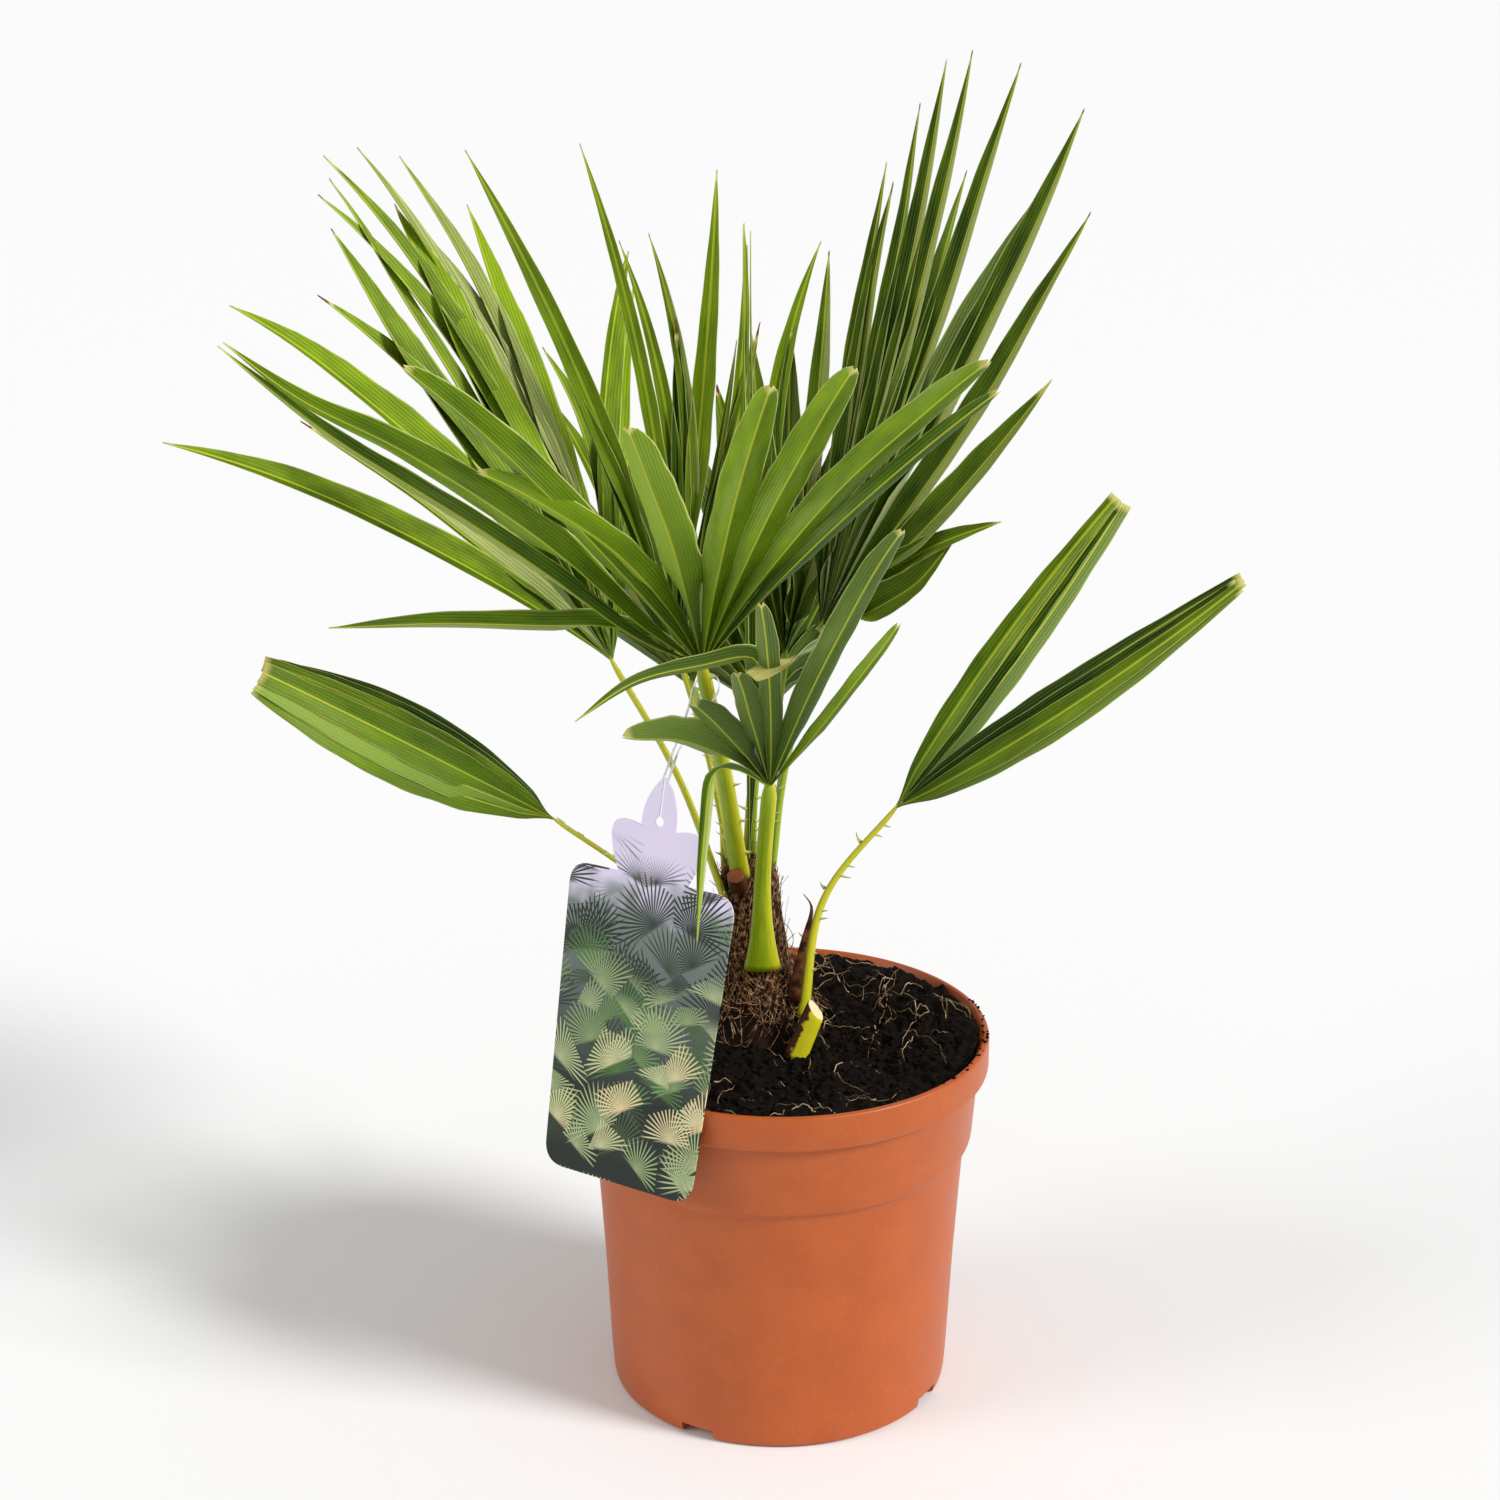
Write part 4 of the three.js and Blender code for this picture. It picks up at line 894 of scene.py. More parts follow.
def cut_material(name, rind, bruised, pith, spread):
    """Cut petiole: a rind that is bruised on one flank, with paler dry pith on the cut."""
    material, tree = new_material(name)
    place = add_node(tree, "Attribute", attribute_name="limb_place").outputs["Vector"]
    side, _, share = add_node(tree, "SeparateXYZ", {0: place}).outputs[:3]
    where = add_node(tree, "TexCoord").outputs["Object"]
    cloud = add_node(tree, "TexNoise", {"Vector": where, "Scale": 260.0, "Detail": 4.0}).outputs["Fac"]
    bruise = add_node(tree, "Math", {0: cloud, 1: side}, operation="ADD").outputs[0]
    bruise = add_node(tree, "MapRange", {0: bruise, 1: spread, 2: spread + 0.15}).outputs[0]
    cut = add_node(tree, "MapRange", {0: share, 1: 0.985, 2: 0.995}).outputs[0]
    layers = ((bruise, opaque(linear(bruised))), (cut, opaque(linear(pith))))
    finish_material(tree, opaque(rind), layers, 0.45, 0.3, cloud, 0.15)
    return material


def spun(outline, steps):
    """A bmesh spun full circle from an outline of radii and heights."""
    bm = bmesh.new()
    verts = [bm.verts.new((radius, 0, height)) for radius, height in outline]
    edges = [bm.edges.new(pair) for pair in zip(verts, verts[1:])]
    circle = {"cent": (0, 0, 0), "axis": (0, 0, 1), "angle": 2 * math.pi, "steps": steps}
    bmesh.ops.spin(bm, geom=verts + edges, use_merge=True, **circle)
    bmesh.ops.remove_doubles(bm, verts=bm.verts, dist=0.001)
    bmesh.ops.recalc_face_normals(bm, faces=bm.faces)
    return bm


def build_pot(settings):
    """The pot's wall, spun from its profile, with its foot notched."""
    bm = spun([*POT_OUTSIDE, *POT_INSIDE], settings.pot_steps)
    sharp = [e for e in bm.edges if len(e.link_faces) == 2 and e.calc_face_angle() > math.radians(14)]
    round_off = {"offset": POT_EDGE, "offset_type": "OFFSET", "segments": 2, "profile": 0.5}
    bmesh.ops.bevel(bm, geom=sharp, affect="EDGES", material=-1, clamp_overlap=True, **round_off)
    wall = bpy.data.objects.new("pot_blank", bmesh_to_mesh("pot_blank", bm))

    cutter = bmesh.new()
    foot = Matrix.Translation((NOTCHES["radius"], 0, 0))
    size = Matrix.Diagonal((2 * NOTCHES["depth"], NOTCHES["width"], 2 * NOTCHES["height"], 1))
    for i in range(NOTCHES["count"]):
        turn = Matrix.Rotation(math.radians(NOTCHES["first"] + 360 / NOTCHES["count"] * i), 4, "Z")
        bmesh.ops.create_cube(cutter, size=1, matrix=turn @ foot @ size)
    blocks = bpy.data.objects.new("notch_blocks", bmesh_to_mesh("notch_blocks", cutter))
    for helper in (wall, blocks):
        bpy.context.scene.collection.objects.link(helper)
    cut = wall.modifiers.new("notches", "BOOLEAN")
    cut.operation, cut.solver, cut.object = "DIFFERENCE", "EXACT", blocks
    bpy.context.view_layer.update()
    mesh = bpy.data.meshes.new_from_object(wall.evaluated_get(bpy.context.evaluated_depsgraph_get()))
    mesh.name = "nursery_pot"
    for helper in (wall, blocks):
        bpy.data.objects.remove(helper)
    mesh.polygons.foreach_set("use_smooth", [True] * len(mesh.polygons))
    mesh.set_sharp_from_angle(angle=math.radians(32))
    return mesh


def soil_bank(x, y):
    """How far the soil is banked up against the right and rear of the wall."""
    outward = smooth_step(*BANK["radii"], math.hypot(x, y))
    beside = smooth_step(*BANK["sides"], math.sin(math.atan2(y, x) + BANK["turn"]))
    return BANK["height"] * float(outward * beside)


def soil_height(x, y):
    """The soil's relief over its level, in millimetres."""
    broad = noise.fractal(Vector((x / 26, y / 26, 0.3)), 1.0, 2.0, 3)
    crumbs = noise.turbulence(Vector((x / 8, y / 8, 4.2)), 5, True)
    return 1.3 * broad + 4.6 * (crumbs - 0.5) + soil_bank(x, y)


def build_soil():
    """The soil, spun from its outline, with its top crumbled."""
    rings = SOIL["rings"]
    top = [(SOIL["radius"] * i / rings, SOIL["top"]) for i in range(rings + 1)]
    outline = [*top, SOIL["under_lip"], SOIL["side"], (SOIL["wall"], SOIL["floor"]), (0, SOIL["floor"])]
    bm = spun(outline, SOIL["steps"])
    for vert in bm.verts:
        if vert.co.z > SOIL["top"] - 0.01:
            x, y = vert.co.x, vert.co.y
            vert.co.z += soil_height(x, y)
            rim = float(smooth_step(*BANK["rim"], math.hypot(x, y)))
            spread = 1 + BANK["spread"] * soil_bank(x, y) * rim
            vert.co.x, vert.co.y = x * spread, y * spread
    return bmesh_to_mesh("compost", bm)


def build_crumbs(settings, dice):
    """Loose crumbs of compost on the soil, as one mesh."""
    ball = bmesh.new()
    bmesh.ops.create_icosphere(ball, subdivisions=1, radius=1)
    shape = np.array([v.co for v in ball.verts])
    faces = [tuple(v.index for v in face.verts) for face in ball.faces]
    ball.free()
    skin = Skin()
    for i in range(settings.crumbs + settings.spilled):
        radius, angle = SOIL["loose"] * math.sqrt(dice.random()), dice.uniform(0, 2 * math.pi)
        size = dice.uniform(0.5, 2.0) * dice.uniform(0.5, 1.0)
        spilled = i >= settings.crumbs
        if spilled:
            radius, angle = dice.uniform(*SPILL["radii"]), dice.triangular(*SPILL["angles"])
            size = SPILL["size"] * size
        x, y = radius * math.cos(angle), radius * math.sin(angle)
        stretch = np.array([dice.uniform(0.7, 1.4), dice.uniform(0.7, 1.4), dice.uniform(0.5, 0.9)])
        bumps = np.array([[0.7 + 0.6 * dice.random()] for _ in shape])
        height = POT_INSIDE[0][1] if spilled else SOIL["top"] + soil_height(x, y)
        centre = np.array((x, y, height + size * 0.2))
        skin.add(centre + shape * bumps * stretch * size, faces)
    return skin.mesh("compost_crumbs")


def wander(dice, start, heading, length, steps, wobble, lift):
    """A line that wanders over the soil from a start, and how far each point of it is lifted."""
    points, angle = [np.array(start, float)], heading
    step = length / steps
    bend = dice.uniform(-wobble, wobble)
    for _ in range(steps):
        bend = 0.7 * bend + dice.uniform(-wobble, wobble)
        angle += bend
        points.append(points[-1] + step * np.array((math.cos(angle), math.sin(angle), 0)))
    arch = [lift * math.sin(math.pi * k / steps) for k in range(steps + 1)]
    return np.array(points), arch


def build_roots(settings, dice):
    """Fine tan roots that lie on the soil in loose bends, as one mesh."""
    skin = Skin()
    count, sides = ROOT_MESH
    most = SOIL["loose"]
    for i in range(settings.roots):
        behind = i % 4 == 0
        radius = dice.uniform(ROOTS["behind"], most) if behind else most * math.sqrt(dice.random())
        angle = dice.uniform(*ROOTS["angles"]) if behind else dice.uniform(-math.pi, math.pi)
        start = (radius * math.cos(angle), radius * math.sin(angle), 0)
        length = dice.uniform(*ROOTS["short"]) if dice.random() < 0.6 else dice.uniform(*ROOTS["long"])
        lift = dice.uniform(0, 5) if behind else dice.uniform(-0.8, 2.5)
        heading = dice.uniform(-math.pi, math.pi)
        line, arch = wander(dice, start, heading, length, count - 1, ROOTS["wobble"], lift)
        reach = np.hypot(line[:, 0], line[:, 1])
        line[:, :2] *= np.minimum(1, SOIL["edge"] / np.maximum(reach, 1))[:, None]
        line[:, 2] = [SOIL["top"] + soil_height(p[0], p[1]) + 0.1 + a for p, a in zip(line, arch)]
        radii = dice.choice(ROOTS["radii"]) * (1 - 0.6 * np.linspace(0, 1, count))
        skin.tube(strand_rings(line, radii, sides))
    return skin.mesh("surface_roots")


def trunk_ring(height):
    """The trunk's radius and middle at a height."""
    rows = np.array(TRUNK)
    return tuple(np.interp(height, rows[:, 0], rows[:, k]) for k in (1, 2, 3))


def build_trunk():
    """The trunk's core: ridged by its sheaths and roughened all round."""
    bm = bmesh.new()
    rings = []
    count, sides = TRUNK_MESH
    for height in np.linspace(TRUNK[0][0], TRUNK[-1][0], count):
        radius, x, y = trunk_ring(height)
        ring = []
        for k in range(sides):
            angle = 2 * math.pi * k / sides
            cos, sin = math.cos(angle), math.sin(angle)
            ridge = noise.fractal(Vector((2.2 * cos, 2.2 * sin, height / 45)), 1, 2, 4)
            grit = noise.turbulence(Vector((radius * cos / 3, radius * sin / 3, height / 7)), 3, False)
            r = radius * (0.95 + 0.1 * ridge) + 0.9 * (grit - 0.5)
            ring.append((x + r * cos, y + r * sin, height))
        rings.append(ring)
    loft(bm, rings)
    return bmesh_to_mesh("fibre_trunk", bm)


def build_fibres(settings, dice):
    """Brown sheath fibres that cross over the trunk and tangle round the stalks' feet, as one mesh."""
    skin = Skin()
    steps, sides = FIBRE_MESH
    lowest, highest = TANGLES["range"]
    for _ in range(settings.fibres):
        angle = dice.uniform(0, 2 * math.pi)
        low = dice.uniform(*FIBRES["foot"])
        rise = dice.uniform(*FIBRES["rise"])
        lean = dice.uniform(-FIBRES["lean"], FIBRES["lean"])
        off = dice.uniform(*FIBRES["off"])
        loose = dice.random() ** 4 * FIBRES["loose"]
        line = []
        for t in np.linspace(0, 1, steps):
            height = min(low + rise * t, FIBRES["top"])
            radius, x, y = trunk_ring(min(height, CORE[1]))
            a = angle + lean * t
            r = radius + off + loose * t * t + 0.5 * math.sin(6 * t + angle)
            line.append((x + r * math.cos(a), y + r * math.sin(a), height))
        radii = dice.uniform(0.14, 0.32) * (1 - 0.5 * np.linspace(0, 1, steps))
        skin.tube(strand_rings(np.array(line), radii, sides))
    for _ in range(settings.tangles):
        angle, height = dice.uniform(*TANGLES["angles"]), dice.triangular(*TANGLES["heights"])
        heading, turn = dice.uniform(0, 2 * math.pi), dice.uniform(-TANGLES["turn"], TANGLES["turn"])
        loose = 1.0 if height < TANGLES["loose_below"] else 0.3
        off, rise = loose * dice.choice(TANGLES["off"]), loose * dice.uniform(*TANGLES["rise"])
        step = dice.uniform(*TANGLES["step"])
        line = []
        for k in range(steps):
            radius, x, y = trunk_ring(min(max(height, CORE[0]), CORE[1]))
            r = radius + off + rise * math.sin(math.pi * k / (steps - 1))
            line.append((x + r * math.cos(angle), y + r * math.sin(angle), height))
            heading += turn + dice.uniform(-TANGLES["sway"], TANGLES["sway"])
            angle += step * math.cos(heading) / radius
            height = min(max(height + step * math.sin(heading), lowest), highest)
        radii = dice.uniform(0.12, 0.3) * (1 - 0.6 * np.linspace(0, 1, steps))
        skin.tube(strand_rings(np.array(line), radii, sides))
    return skin.mesh("sheath_fibres")


def build_limb(name, limb):
    """A short oval limb between two points, whose top is cut at a slant and dished a little."""
    bm = bmesh.new()
    layer = bm.verts.layers.float_vector.new("limb_place")
    foot, top = np.array(limb["foot"], float), np.array(limb["top"], float)
    radii, flatten, slant = limb["radii"], limb["flatten"], limb["slant"]
    along = unit(top - foot)
    across = unit(np.cross(along, np.array((0, 1, 0.3))))
    depth = np.cross(along, across)
    angles = np.arange(LIMB_SIDES) * 2 * math.pi / LIMB_SIDES
    rough = np.array([noise.noise(Vector((2 * math.cos(a), 2 * math.sin(a), 7.7))) for a in angles])
    rings, values = [], []
    rows = [(t, 1.0) for t in np.linspace(0, 0.98, 10)] + [(1.0, 0.93), (1.0, 0.6), (0.985, 0.25)]
    for t, size in rows:
        radius = (radii[0] + (radii[1] - radii[0]) * t) * size * (1 + 0.12 * rough)
        wide = (np.cos(angles) * radius)[:, None] * across
        deep = (np.sin(angles) * radius)[:, None] * depth * flatten
        slope = (np.cos(angles) - 0.8 * np.sin(angles)) * slant * t**3
        lean = (slope * radius + 0.5 * rough * t)[:, None] * along
        rings.append(foot + (top - foot) * t + wide + deep + lean)
        values.append([(math.cos(a), t * 24, 0.98 if size == 1.0 else 1.0) for a in angles])
    loft(bm, rings, layer, values)
    return bmesh_to_mesh(name, bm)


def label_place():
    """The matrix of the label's plane, in millimetres: across, up and out of its face."""
    turn = Matrix.Rotation(-math.radians(LABEL["yaw"]), 4, "Z")
    lean = Matrix.Rotation(math.radians(90 - LABEL["tilt"]), 4, "X")
    touch = turn @ Vector((0, -LABEL["rim"], 0))
    return Matrix.Translation((touch.x, touch.y, LABEL["rest"])) @ turn @ lean


def corner(start, control, end, steps=8):
    """Points along a quadratic curve, without its start."""
    a, b, c = (np.array(p, float) for p in (start, control, end))
    return [(1 - t) ** 2 * a + 2 * t * (1 - t) * b + t * t * c for t in np.linspace(0, 1, steps + 1)[1:]]


def label_outline():
    """The label's outline with its three lobes, and the slit that leads to its hole."""
    v = LABEL
    c, b, t = v["centre"], v["bottom_corner"], v["top_corner"]
    low, high, m = v["bottom"], v["shoulder"], v["lobe_half"]
    foot, top = c + v["low_half"], c + v["high_half"]
    right = [np.array((c, low))]
    right += [np.array((foot - b, low)), *corner((foot - b, low), (foot, low), (foot, low + b))]
    right += [np.array((top, high - t)), *corner((top, high - t), (top, high), (top - t, high))]
    right += [np.array((c + v["neck"], high))]
    right += corner((c + v["neck"], high), (c + v["side_outer"], v["side_top"]), (c + m, v["notch"]))
    right += corner((c + m, v["notch"]), (c + m + 1, v["lobe_top"] - t), (c + v["slit"], v["lobe_top"]))
    start = math.asin(v["slit"] / v["hole_radius"])
    for a in np.linspace(start, math.pi, 12):
        x, y = v["hole_radius"] * math.sin(a), v["hole_radius"] * math.cos(a)
        right.append(np.array((c + x, v["hole"] + y)))
    mirrored = [np.array((2 * c - p[0], p[1])) for p in right[1:-1]]
    return right + mirrored[::-1]


def build_label():
    """The label's board, extruded from its outline."""
    bm = bmesh.new()
    layer = bm.verts.layers.float_vector.new("label_place")
    face = bm.faces.new([bm.verts.new((p[0], p[1], 0.3)) for p in label_outline()])
    grown = bmesh.ops.extrude_face_region(bm, geom=[face])["geom"]
    raised = [v for v in grown if isinstance(v, bmesh.types.BMVert)]
    bmesh.ops.translate(bm, vec=(0, 0, LABEL["thickness"]), verts=raised)
    bmesh.ops.recalc_face_normals(bm, faces=bm.faces)
    for vert in bm.verts:
        vert[layer] = vert.co.copy()
    bmesh.ops.transform(bm, matrix=label_place(), verts=bm.verts)
    return bmesh_to_mesh("label_board", bm, smooth=False)


def build_strap():
    """The strap: a thin band from the label's hole, round the front stalk and back."""
    lobe = label_place() @ Vector((LABEL["centre"], LABEL["lobe_top"] - 3, 0.7))
    lobe = np.array(lobe)
    stalk, _ = stalk_line(FRONDS["front"], 60, -3.6)
    k = int(np.argmin(np.abs(stalk[:, 2] - STRAP["height"])))
    middle = stalk[k]
    along = middle - lobe
    reach = float(np.linalg.norm(along))
    along = along / reach
    aside = unit(np.cross(along, unit(stalk[k] - stalk[k - 1])))
    r, spread, bow = STRAP["loop"], STRAP["spread"], STRAP["bow"]

    def at(forward, sideways, back=0.0):
        return lobe + along * forward + aside * sideways + np.array((0, back, 0))

    route = [
        at(0, -spread), at(0.3 * reach, -spread, bow), at(reach - 2 * r, -0.6 * r, 0.3 * bow), at(reach, -r),
        at(reach + 0.7 * r, -0.7 * r), at(reach + r, 0), at(reach + 0.7 * r, 0.7 * r), at(reach, r),
        at(reach - 2 * r, 0.6 * r, 0.3 * bow), at(0.3 * reach, spread, bow), at(0, spread),
    ]
    line, _ = even_line(route, 90)
    skin = Skin()
    skin.tube(strand_rings(line, np.full(len(line), STRAP["radius"]), 8, 0.5))
    return skin.mesh("label_strap")


def label_material(settings):
    """Printed card under clear film: half-open fans of thin rays below a pale lilac top, without text."""
    material, tree = new_material("laminated_card")
    place = add_node(tree, "Attribute", attribute_name="label_place").outputs["Vector"]
    flat = add_node(tree, "VectorMath", {0: place, 1: (1, 1, 0)}, operation="MULTIPLY").outputs[0]
    up = add_node(tree, "SeparateXYZ", {0: place}).outputs[1]
    haze = add_node(tree, "MapRange", {0: up, 1: 0.0, 2: 85.0}).outputs[0]
    drift = add_node(tree, "TexNoise", {"Vector": flat, "Scale": 0.06, "Detail": 2.0}).outputs["Fac"]
    bare = add_node(tree, "Math", {0: drift, 1: 50.0, 2: up}, operation="MULTIPLY_ADD").outputs[0]
    bare = add_node(tree, "MapRange", {0: bare, 1: 104.0, 2: 122.0}).outputs[0]
    layers = [(haze, opaque(settings.print_dusk)), (bare, opaque(settings.print_paper))]

    # Each row of fans has its cell size in mm, its shift, its ray count, its two colours, and where it starts
    # and ends up the card.
    deep, dark, leaf = settings.print_deep, settings.print_dark, settings.print_leaf
    pale, straw = settings.print_pale, settings.print_straw
    fans = (
        (31.0, 3.0, 43.0, deep, deep, 25.0, 114.0),
        (24.0, 29.0, 37.0, deep, dark, 0.0, 108.0),
        (22.0, 53.0, 37.0, dark, leaf, -30.0, 92.0),
        (25.0, 41.0, 41.0, leaf, pale, -60.0, 66.0),
        (18.0, 67.0, 31.0, leaf, pale, -60.0, 55.0),
        (21.0, 87.0, 37.0, straw, pale, -60.0, 45.0),
    )
    for size, shift, rays, shade, light, low, high in fans:
        spot = {"Vector": flat, "Location": (shift, shift, 0), "Scale": (1 / size, 0.9 / size, 1)}
        spot = add_node(tree, "Mapping", spot).outputs[0]
        cell = {"Vector": spot, "Scale": 1.0}
        cell = add_node(tree, "TexVoronoi", cell, voronoi_dimensions="2D").outputs
        away = {0: spot, 1: cell["Position"]}
        away = add_node(tree, "VectorMath", away, operation="SUBTRACT").outputs[0]
        right, rise = add_node(tree, "SeparateXYZ", {0: away}).outputs[:2]
        pick = add_node(tree, "SeparateColor", {0: cell["Color"]}).outputs

        # Rays round each cell's middle, which thin out with their distance from it.
        angle = add_node(tree, "Math", {0: rise, 1: right}, operation="ARCTAN2").outputs[0]
        wave = add_node(tree, "Math", {0: angle, 1: rays}, operation="MULTIPLY").outputs[0]
        wave = add_node(tree, "Math", {0: wave}, operation="SINE").outputs[0]
        reach = {0: cell["Distance"], 1: -2.9, 2: 1.45}
        reach = add_node(tree, "Math", reach, operation="MULTIPLY_ADD").outputs[0]
        ray = add_node(tree, "Math", {0: wave, 1: reach}, operation="ADD").outputs[0]
        ray = add_node(tree, "MapRange", {0: ray, 1: 0.2, 2: 0.6}).outputs[0]

        # A fan is open on one side of a line that leans its own way, and some cells have none.
        lean = {0: pick[2], 1: 1.6, 2: -0.8}
        lean = add_node(tree, "Math", lean, operation="MULTIPLY_ADD").outputs[0]
        side = add_node(tree, "Math", {0: right, 1: lean, 2: rise}, operation="MULTIPLY_ADD").outputs[0]
        opened = add_node(tree, "MapRange", {0: side, 1: -0.1, 2: -0.04}).outputs[0]
        shown = add_node(tree, "MapRange", {0: pick[1], 1: 0.2, 2: 0.25}).outputs[0]
        below = add_node(tree, "MapRange", {0: up, 1: high, 2: high - 12}).outputs[0]
        above = add_node(tree, "MapRange", {0: up, 1: low, 2: low + 25}).outputs[0]
        for mask in (opened, shown, below, above):
            ray = add_node(tree, "Math", {0: ray, 1: mask}, operation="MULTIPLY").outputs[0]
        tint = {0: pick[0], 6: opaque(shade), 7: opaque(light)}
        layers.append((ray, add_node(tree, "Mix", tint, data_type="RGBA").outputs[2]))
    finish_material(tree, opaque(settings.print_deep), layers, 0.28, 0.4)
    return material


def strap_material():
    """Clear-white polyethylene: a glossy milky band."""
    material, tree = new_material("milky_polyethylene")
    where = add_node(tree, "TexCoord").outputs["Object"]
    haze = {"Vector": where, "Scale": 1 / (STRAP["cloud"] * MM), "Detail": 4.0}
    cloud = add_node(tree, "TexNoise", haze).outputs["Fac"]
    share = {0: cloud, 1: 0.35, 2: 0.65}
    share = add_node(tree, "MapRange", share, interpolation_type="SMOOTHSTEP").outputs[0]
    layers = ((share, opaque(linear("#dfe3e6"))),)
    finish_material(tree, opaque(linear("#eef0f2")), layers, 0.25, 0.5, cloud, 0.02)
    return material


def colour_setting(name, description, colour):
    """A colour that a user may change, from its sRGB hex value."""
    return FloatVectorProperty(name=name, description=description, subtype="COLOR", default=linear(colour))


class PotSettings(bpy.types.PropertyGroup):
    """The pot and what fills it."""

    colour: colour_setting("Colour", "Main colour of the pot", "#b95a22")
    colour_dark: colour_setting("Dark Colour", "Colour of its darker clouds", "#aa4e19")
    colour_pale: colour_setting("Pale Colour", "Colour of its pale specks", "#cf7f48")
    pot_steps: IntProperty(name="Steps", description="Steps round the pot", default=144, min=24)
    crumbs: IntProperty(name="Crumbs", description="Loose crumbs on the soil", default=1500, min=0)
    spilled: IntProperty(name="Spilled Crumbs", description="Crumbs on the lip", default=34, min=0)
    roots: IntProperty(name="Roots", description="Fine roots on the soil", default=150, min=0)
    fibres: IntProperty(name="Fibres", description="Fibres on the trunk", default=650, min=0)
    tangles: IntProperty(name="Tangles", description="Loose fibres at the stalks' feet", default=250, min=0)


class LeafSettings(bpy.types.PropertyGroup):
    """The fronds."""

    upper_dark: colour_setting("Upper Dark", "Darkest green of the upper side", "#15360a")
    upper_light: colour_setting("Upper Light", "Lightest green of the upper side", "#8bab0a")
    under_dark: colour_setting("Under Dark", "Darkest green of the underside", "#365806")
    under_light: colour_setting("Under Light", "Lightest green of the underside", "#86aa08")
    wax: colour_setting("Wax", "Grey-green of the waxed underside", "#9cb06a")
    dull: colour_setting("Dull", "Olive of the dullest leaflets", "#74864a")
    vein: colour_setting("Vein", "Colour of the fine veins", "#9fb41c")
    rib: colour_setting("Rib", "Colour of the ribs", "#c2cc3e")
    margin: colour_setting("Margin", "Colour of the thin margins", "#d9e08e")
    dry: colour_setting("Dry", "Straw colour of dry tips", "#d0c877")
    dry_dark: colour_setting("Dry Dark", "Brown of dry tips", "#7a5228")
    stalk_green: colour_setting("Stalk", "Green of the stalks", "#98b00c")
    stalk_shade: colour_setting("Stalk Shade", "Deeper green of the stalks' grooves", "#5c7806")
    stalk_yellow: colour_setting("Yellow Stalk", "Yellow of the cut fronds' stalks", "#d0c81c")
    vein_spacing: FloatProperty(
        name="Vein Spacing", description="Distance between drawn veins in mm", default=1.4, min=0.3
    )


class LabelSettings(bpy.types.PropertyGroup):
    """The hanging label's print."""

    print_paper: colour_setting("Paper", "Pale lilac of the label's top", "#e6dcf6")
    print_deep: colour_setting("Deep Green", "Darkest green of the print", "#17221a")
    print_dark: colour_setting("Dark Green", "Dark grey-green of the print", "#39462f")
    print_dusk: colour_setting("Dusk", "Hazy grey-green of the print", "#7c8781")
    print_leaf: colour_setting("Leaf Green", "Middle green of the print", "#4f7a3a")
    print_pale: colour_setting("Pale Green", "Lightest green of the print", "#bcc793")
    print_straw: colour_setting("Straw", "Tan of the print's dry leaves", "#ead2a2")


class StageSettings(bpy.types.PropertyGroup):
    """The floor, the light and the camera."""

    floor: colour_setting("Floor", "Colour of the floor", "#f4f4f4")
    key: FloatProperty(name="Key Light", description="Strength of the main light", default=2.8, min=0.0)
    fill: FloatProperty(name="Fill Light", description="Strength of the soft fill", default=0.9, min=0.0)
    sky: FloatProperty(name="Sky", description="Strength of the light from all sides", default=0.45, min=0.0)
    lens: FloatProperty(
        name="Lens", description="Focal length in mm", subtype="DISTANCE_CAMERA", default=72.5
    )


class PALM_OT_pot(bpy.types.Operator):
    """Builds the nursery pot"""

    bl_idname = "palm.pot"
    bl_label = "Nursery Pot"

    def execute(self, context):
        settings = context.scene.palm_pot
        pot = add_piece("nursery_pot", build_pot(settings), pot_material(settings))
        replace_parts(pot, "pot")
        return {"FINISHED"}


class PALM_OT_soil(bpy.types.Operator):
    """Builds the compost with its crumbs and surface roots"""

    bl_idname = "palm.soil"
    bl_label = "Compost"

    def execute(self, context):
        settings = context.scene.palm_pot
        dice = random.Random(11)
        earth = soil_material()
        soil = add_piece("compost", build_soil(), earth)
        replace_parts(soil, "soil")
        add_piece("compost_crumbs", build_crumbs(settings, dice), earth)
        tan = plain_fibre_material("tan_root", "#80603e", "#d8bf98")
        add_piece("surface_roots", build_roots(settings, dice), tan)
        return {"FINISHED"}


class PALM_OT_trunk(bpy.types.Operator):
    """Builds the fibre-clad trunk"""

    bl_idname = "palm.trunk"
    bl_label = "Trunk"

    def execute(self, context):
        settings = context.scene.palm_pot
        bark = plain_fibre_material("palm_bark", "#1c0c06", "#6a341c", 0.19)
        trunk = add_piece("fibre_trunk", build_trunk(), bark)
        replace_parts(trunk, "trunk")
        hair = plain_fibre_material("sheath_fibre", "#43210f", "#cda272", 0.166, 430.0)
        add_piece("sheath_fibres", build_fibres(settings, random.Random(5)), hair)
        return {"FINISHED"}


class PALM_OT_stalks(bpy.types.Operator):
    """Builds the stalks with their thorns"""

    bl_idname = "palm.stalks"
    bl_label = "Stalks"

    def execute(self, context):
        settings = context.scene.palm_leaf
        fresh, shade, yellow_and_highlight = settings.stalk_green, settings.stalk_shade, settings.stalk_yellow
        green = stalk_material("green_petiole", fresh, shade, yellow_and_highlight)
        yellow = stalk_material("yellow_petiole", yellow_and_highlight, fresh, yellow_and_highlight)
        dice = random.Random(3)
        thorns = Skin("limb_place")
        for name, stalk in {**FRONDS, **CUT_STALKS}.items():
            mesh = build_stalk(f"petiole_{name}", stalk)
            finish = yellow if name in CUT_STALKS else green
            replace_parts(add_piece(mesh.name, mesh, finish), f"stalk_{name}")
            add_spines(thorns, stalk, dice)
        add_piece("petiole_thorns", thorns.mesh("petiole_thorns"), spine_material())
        return {"FINISHED"}


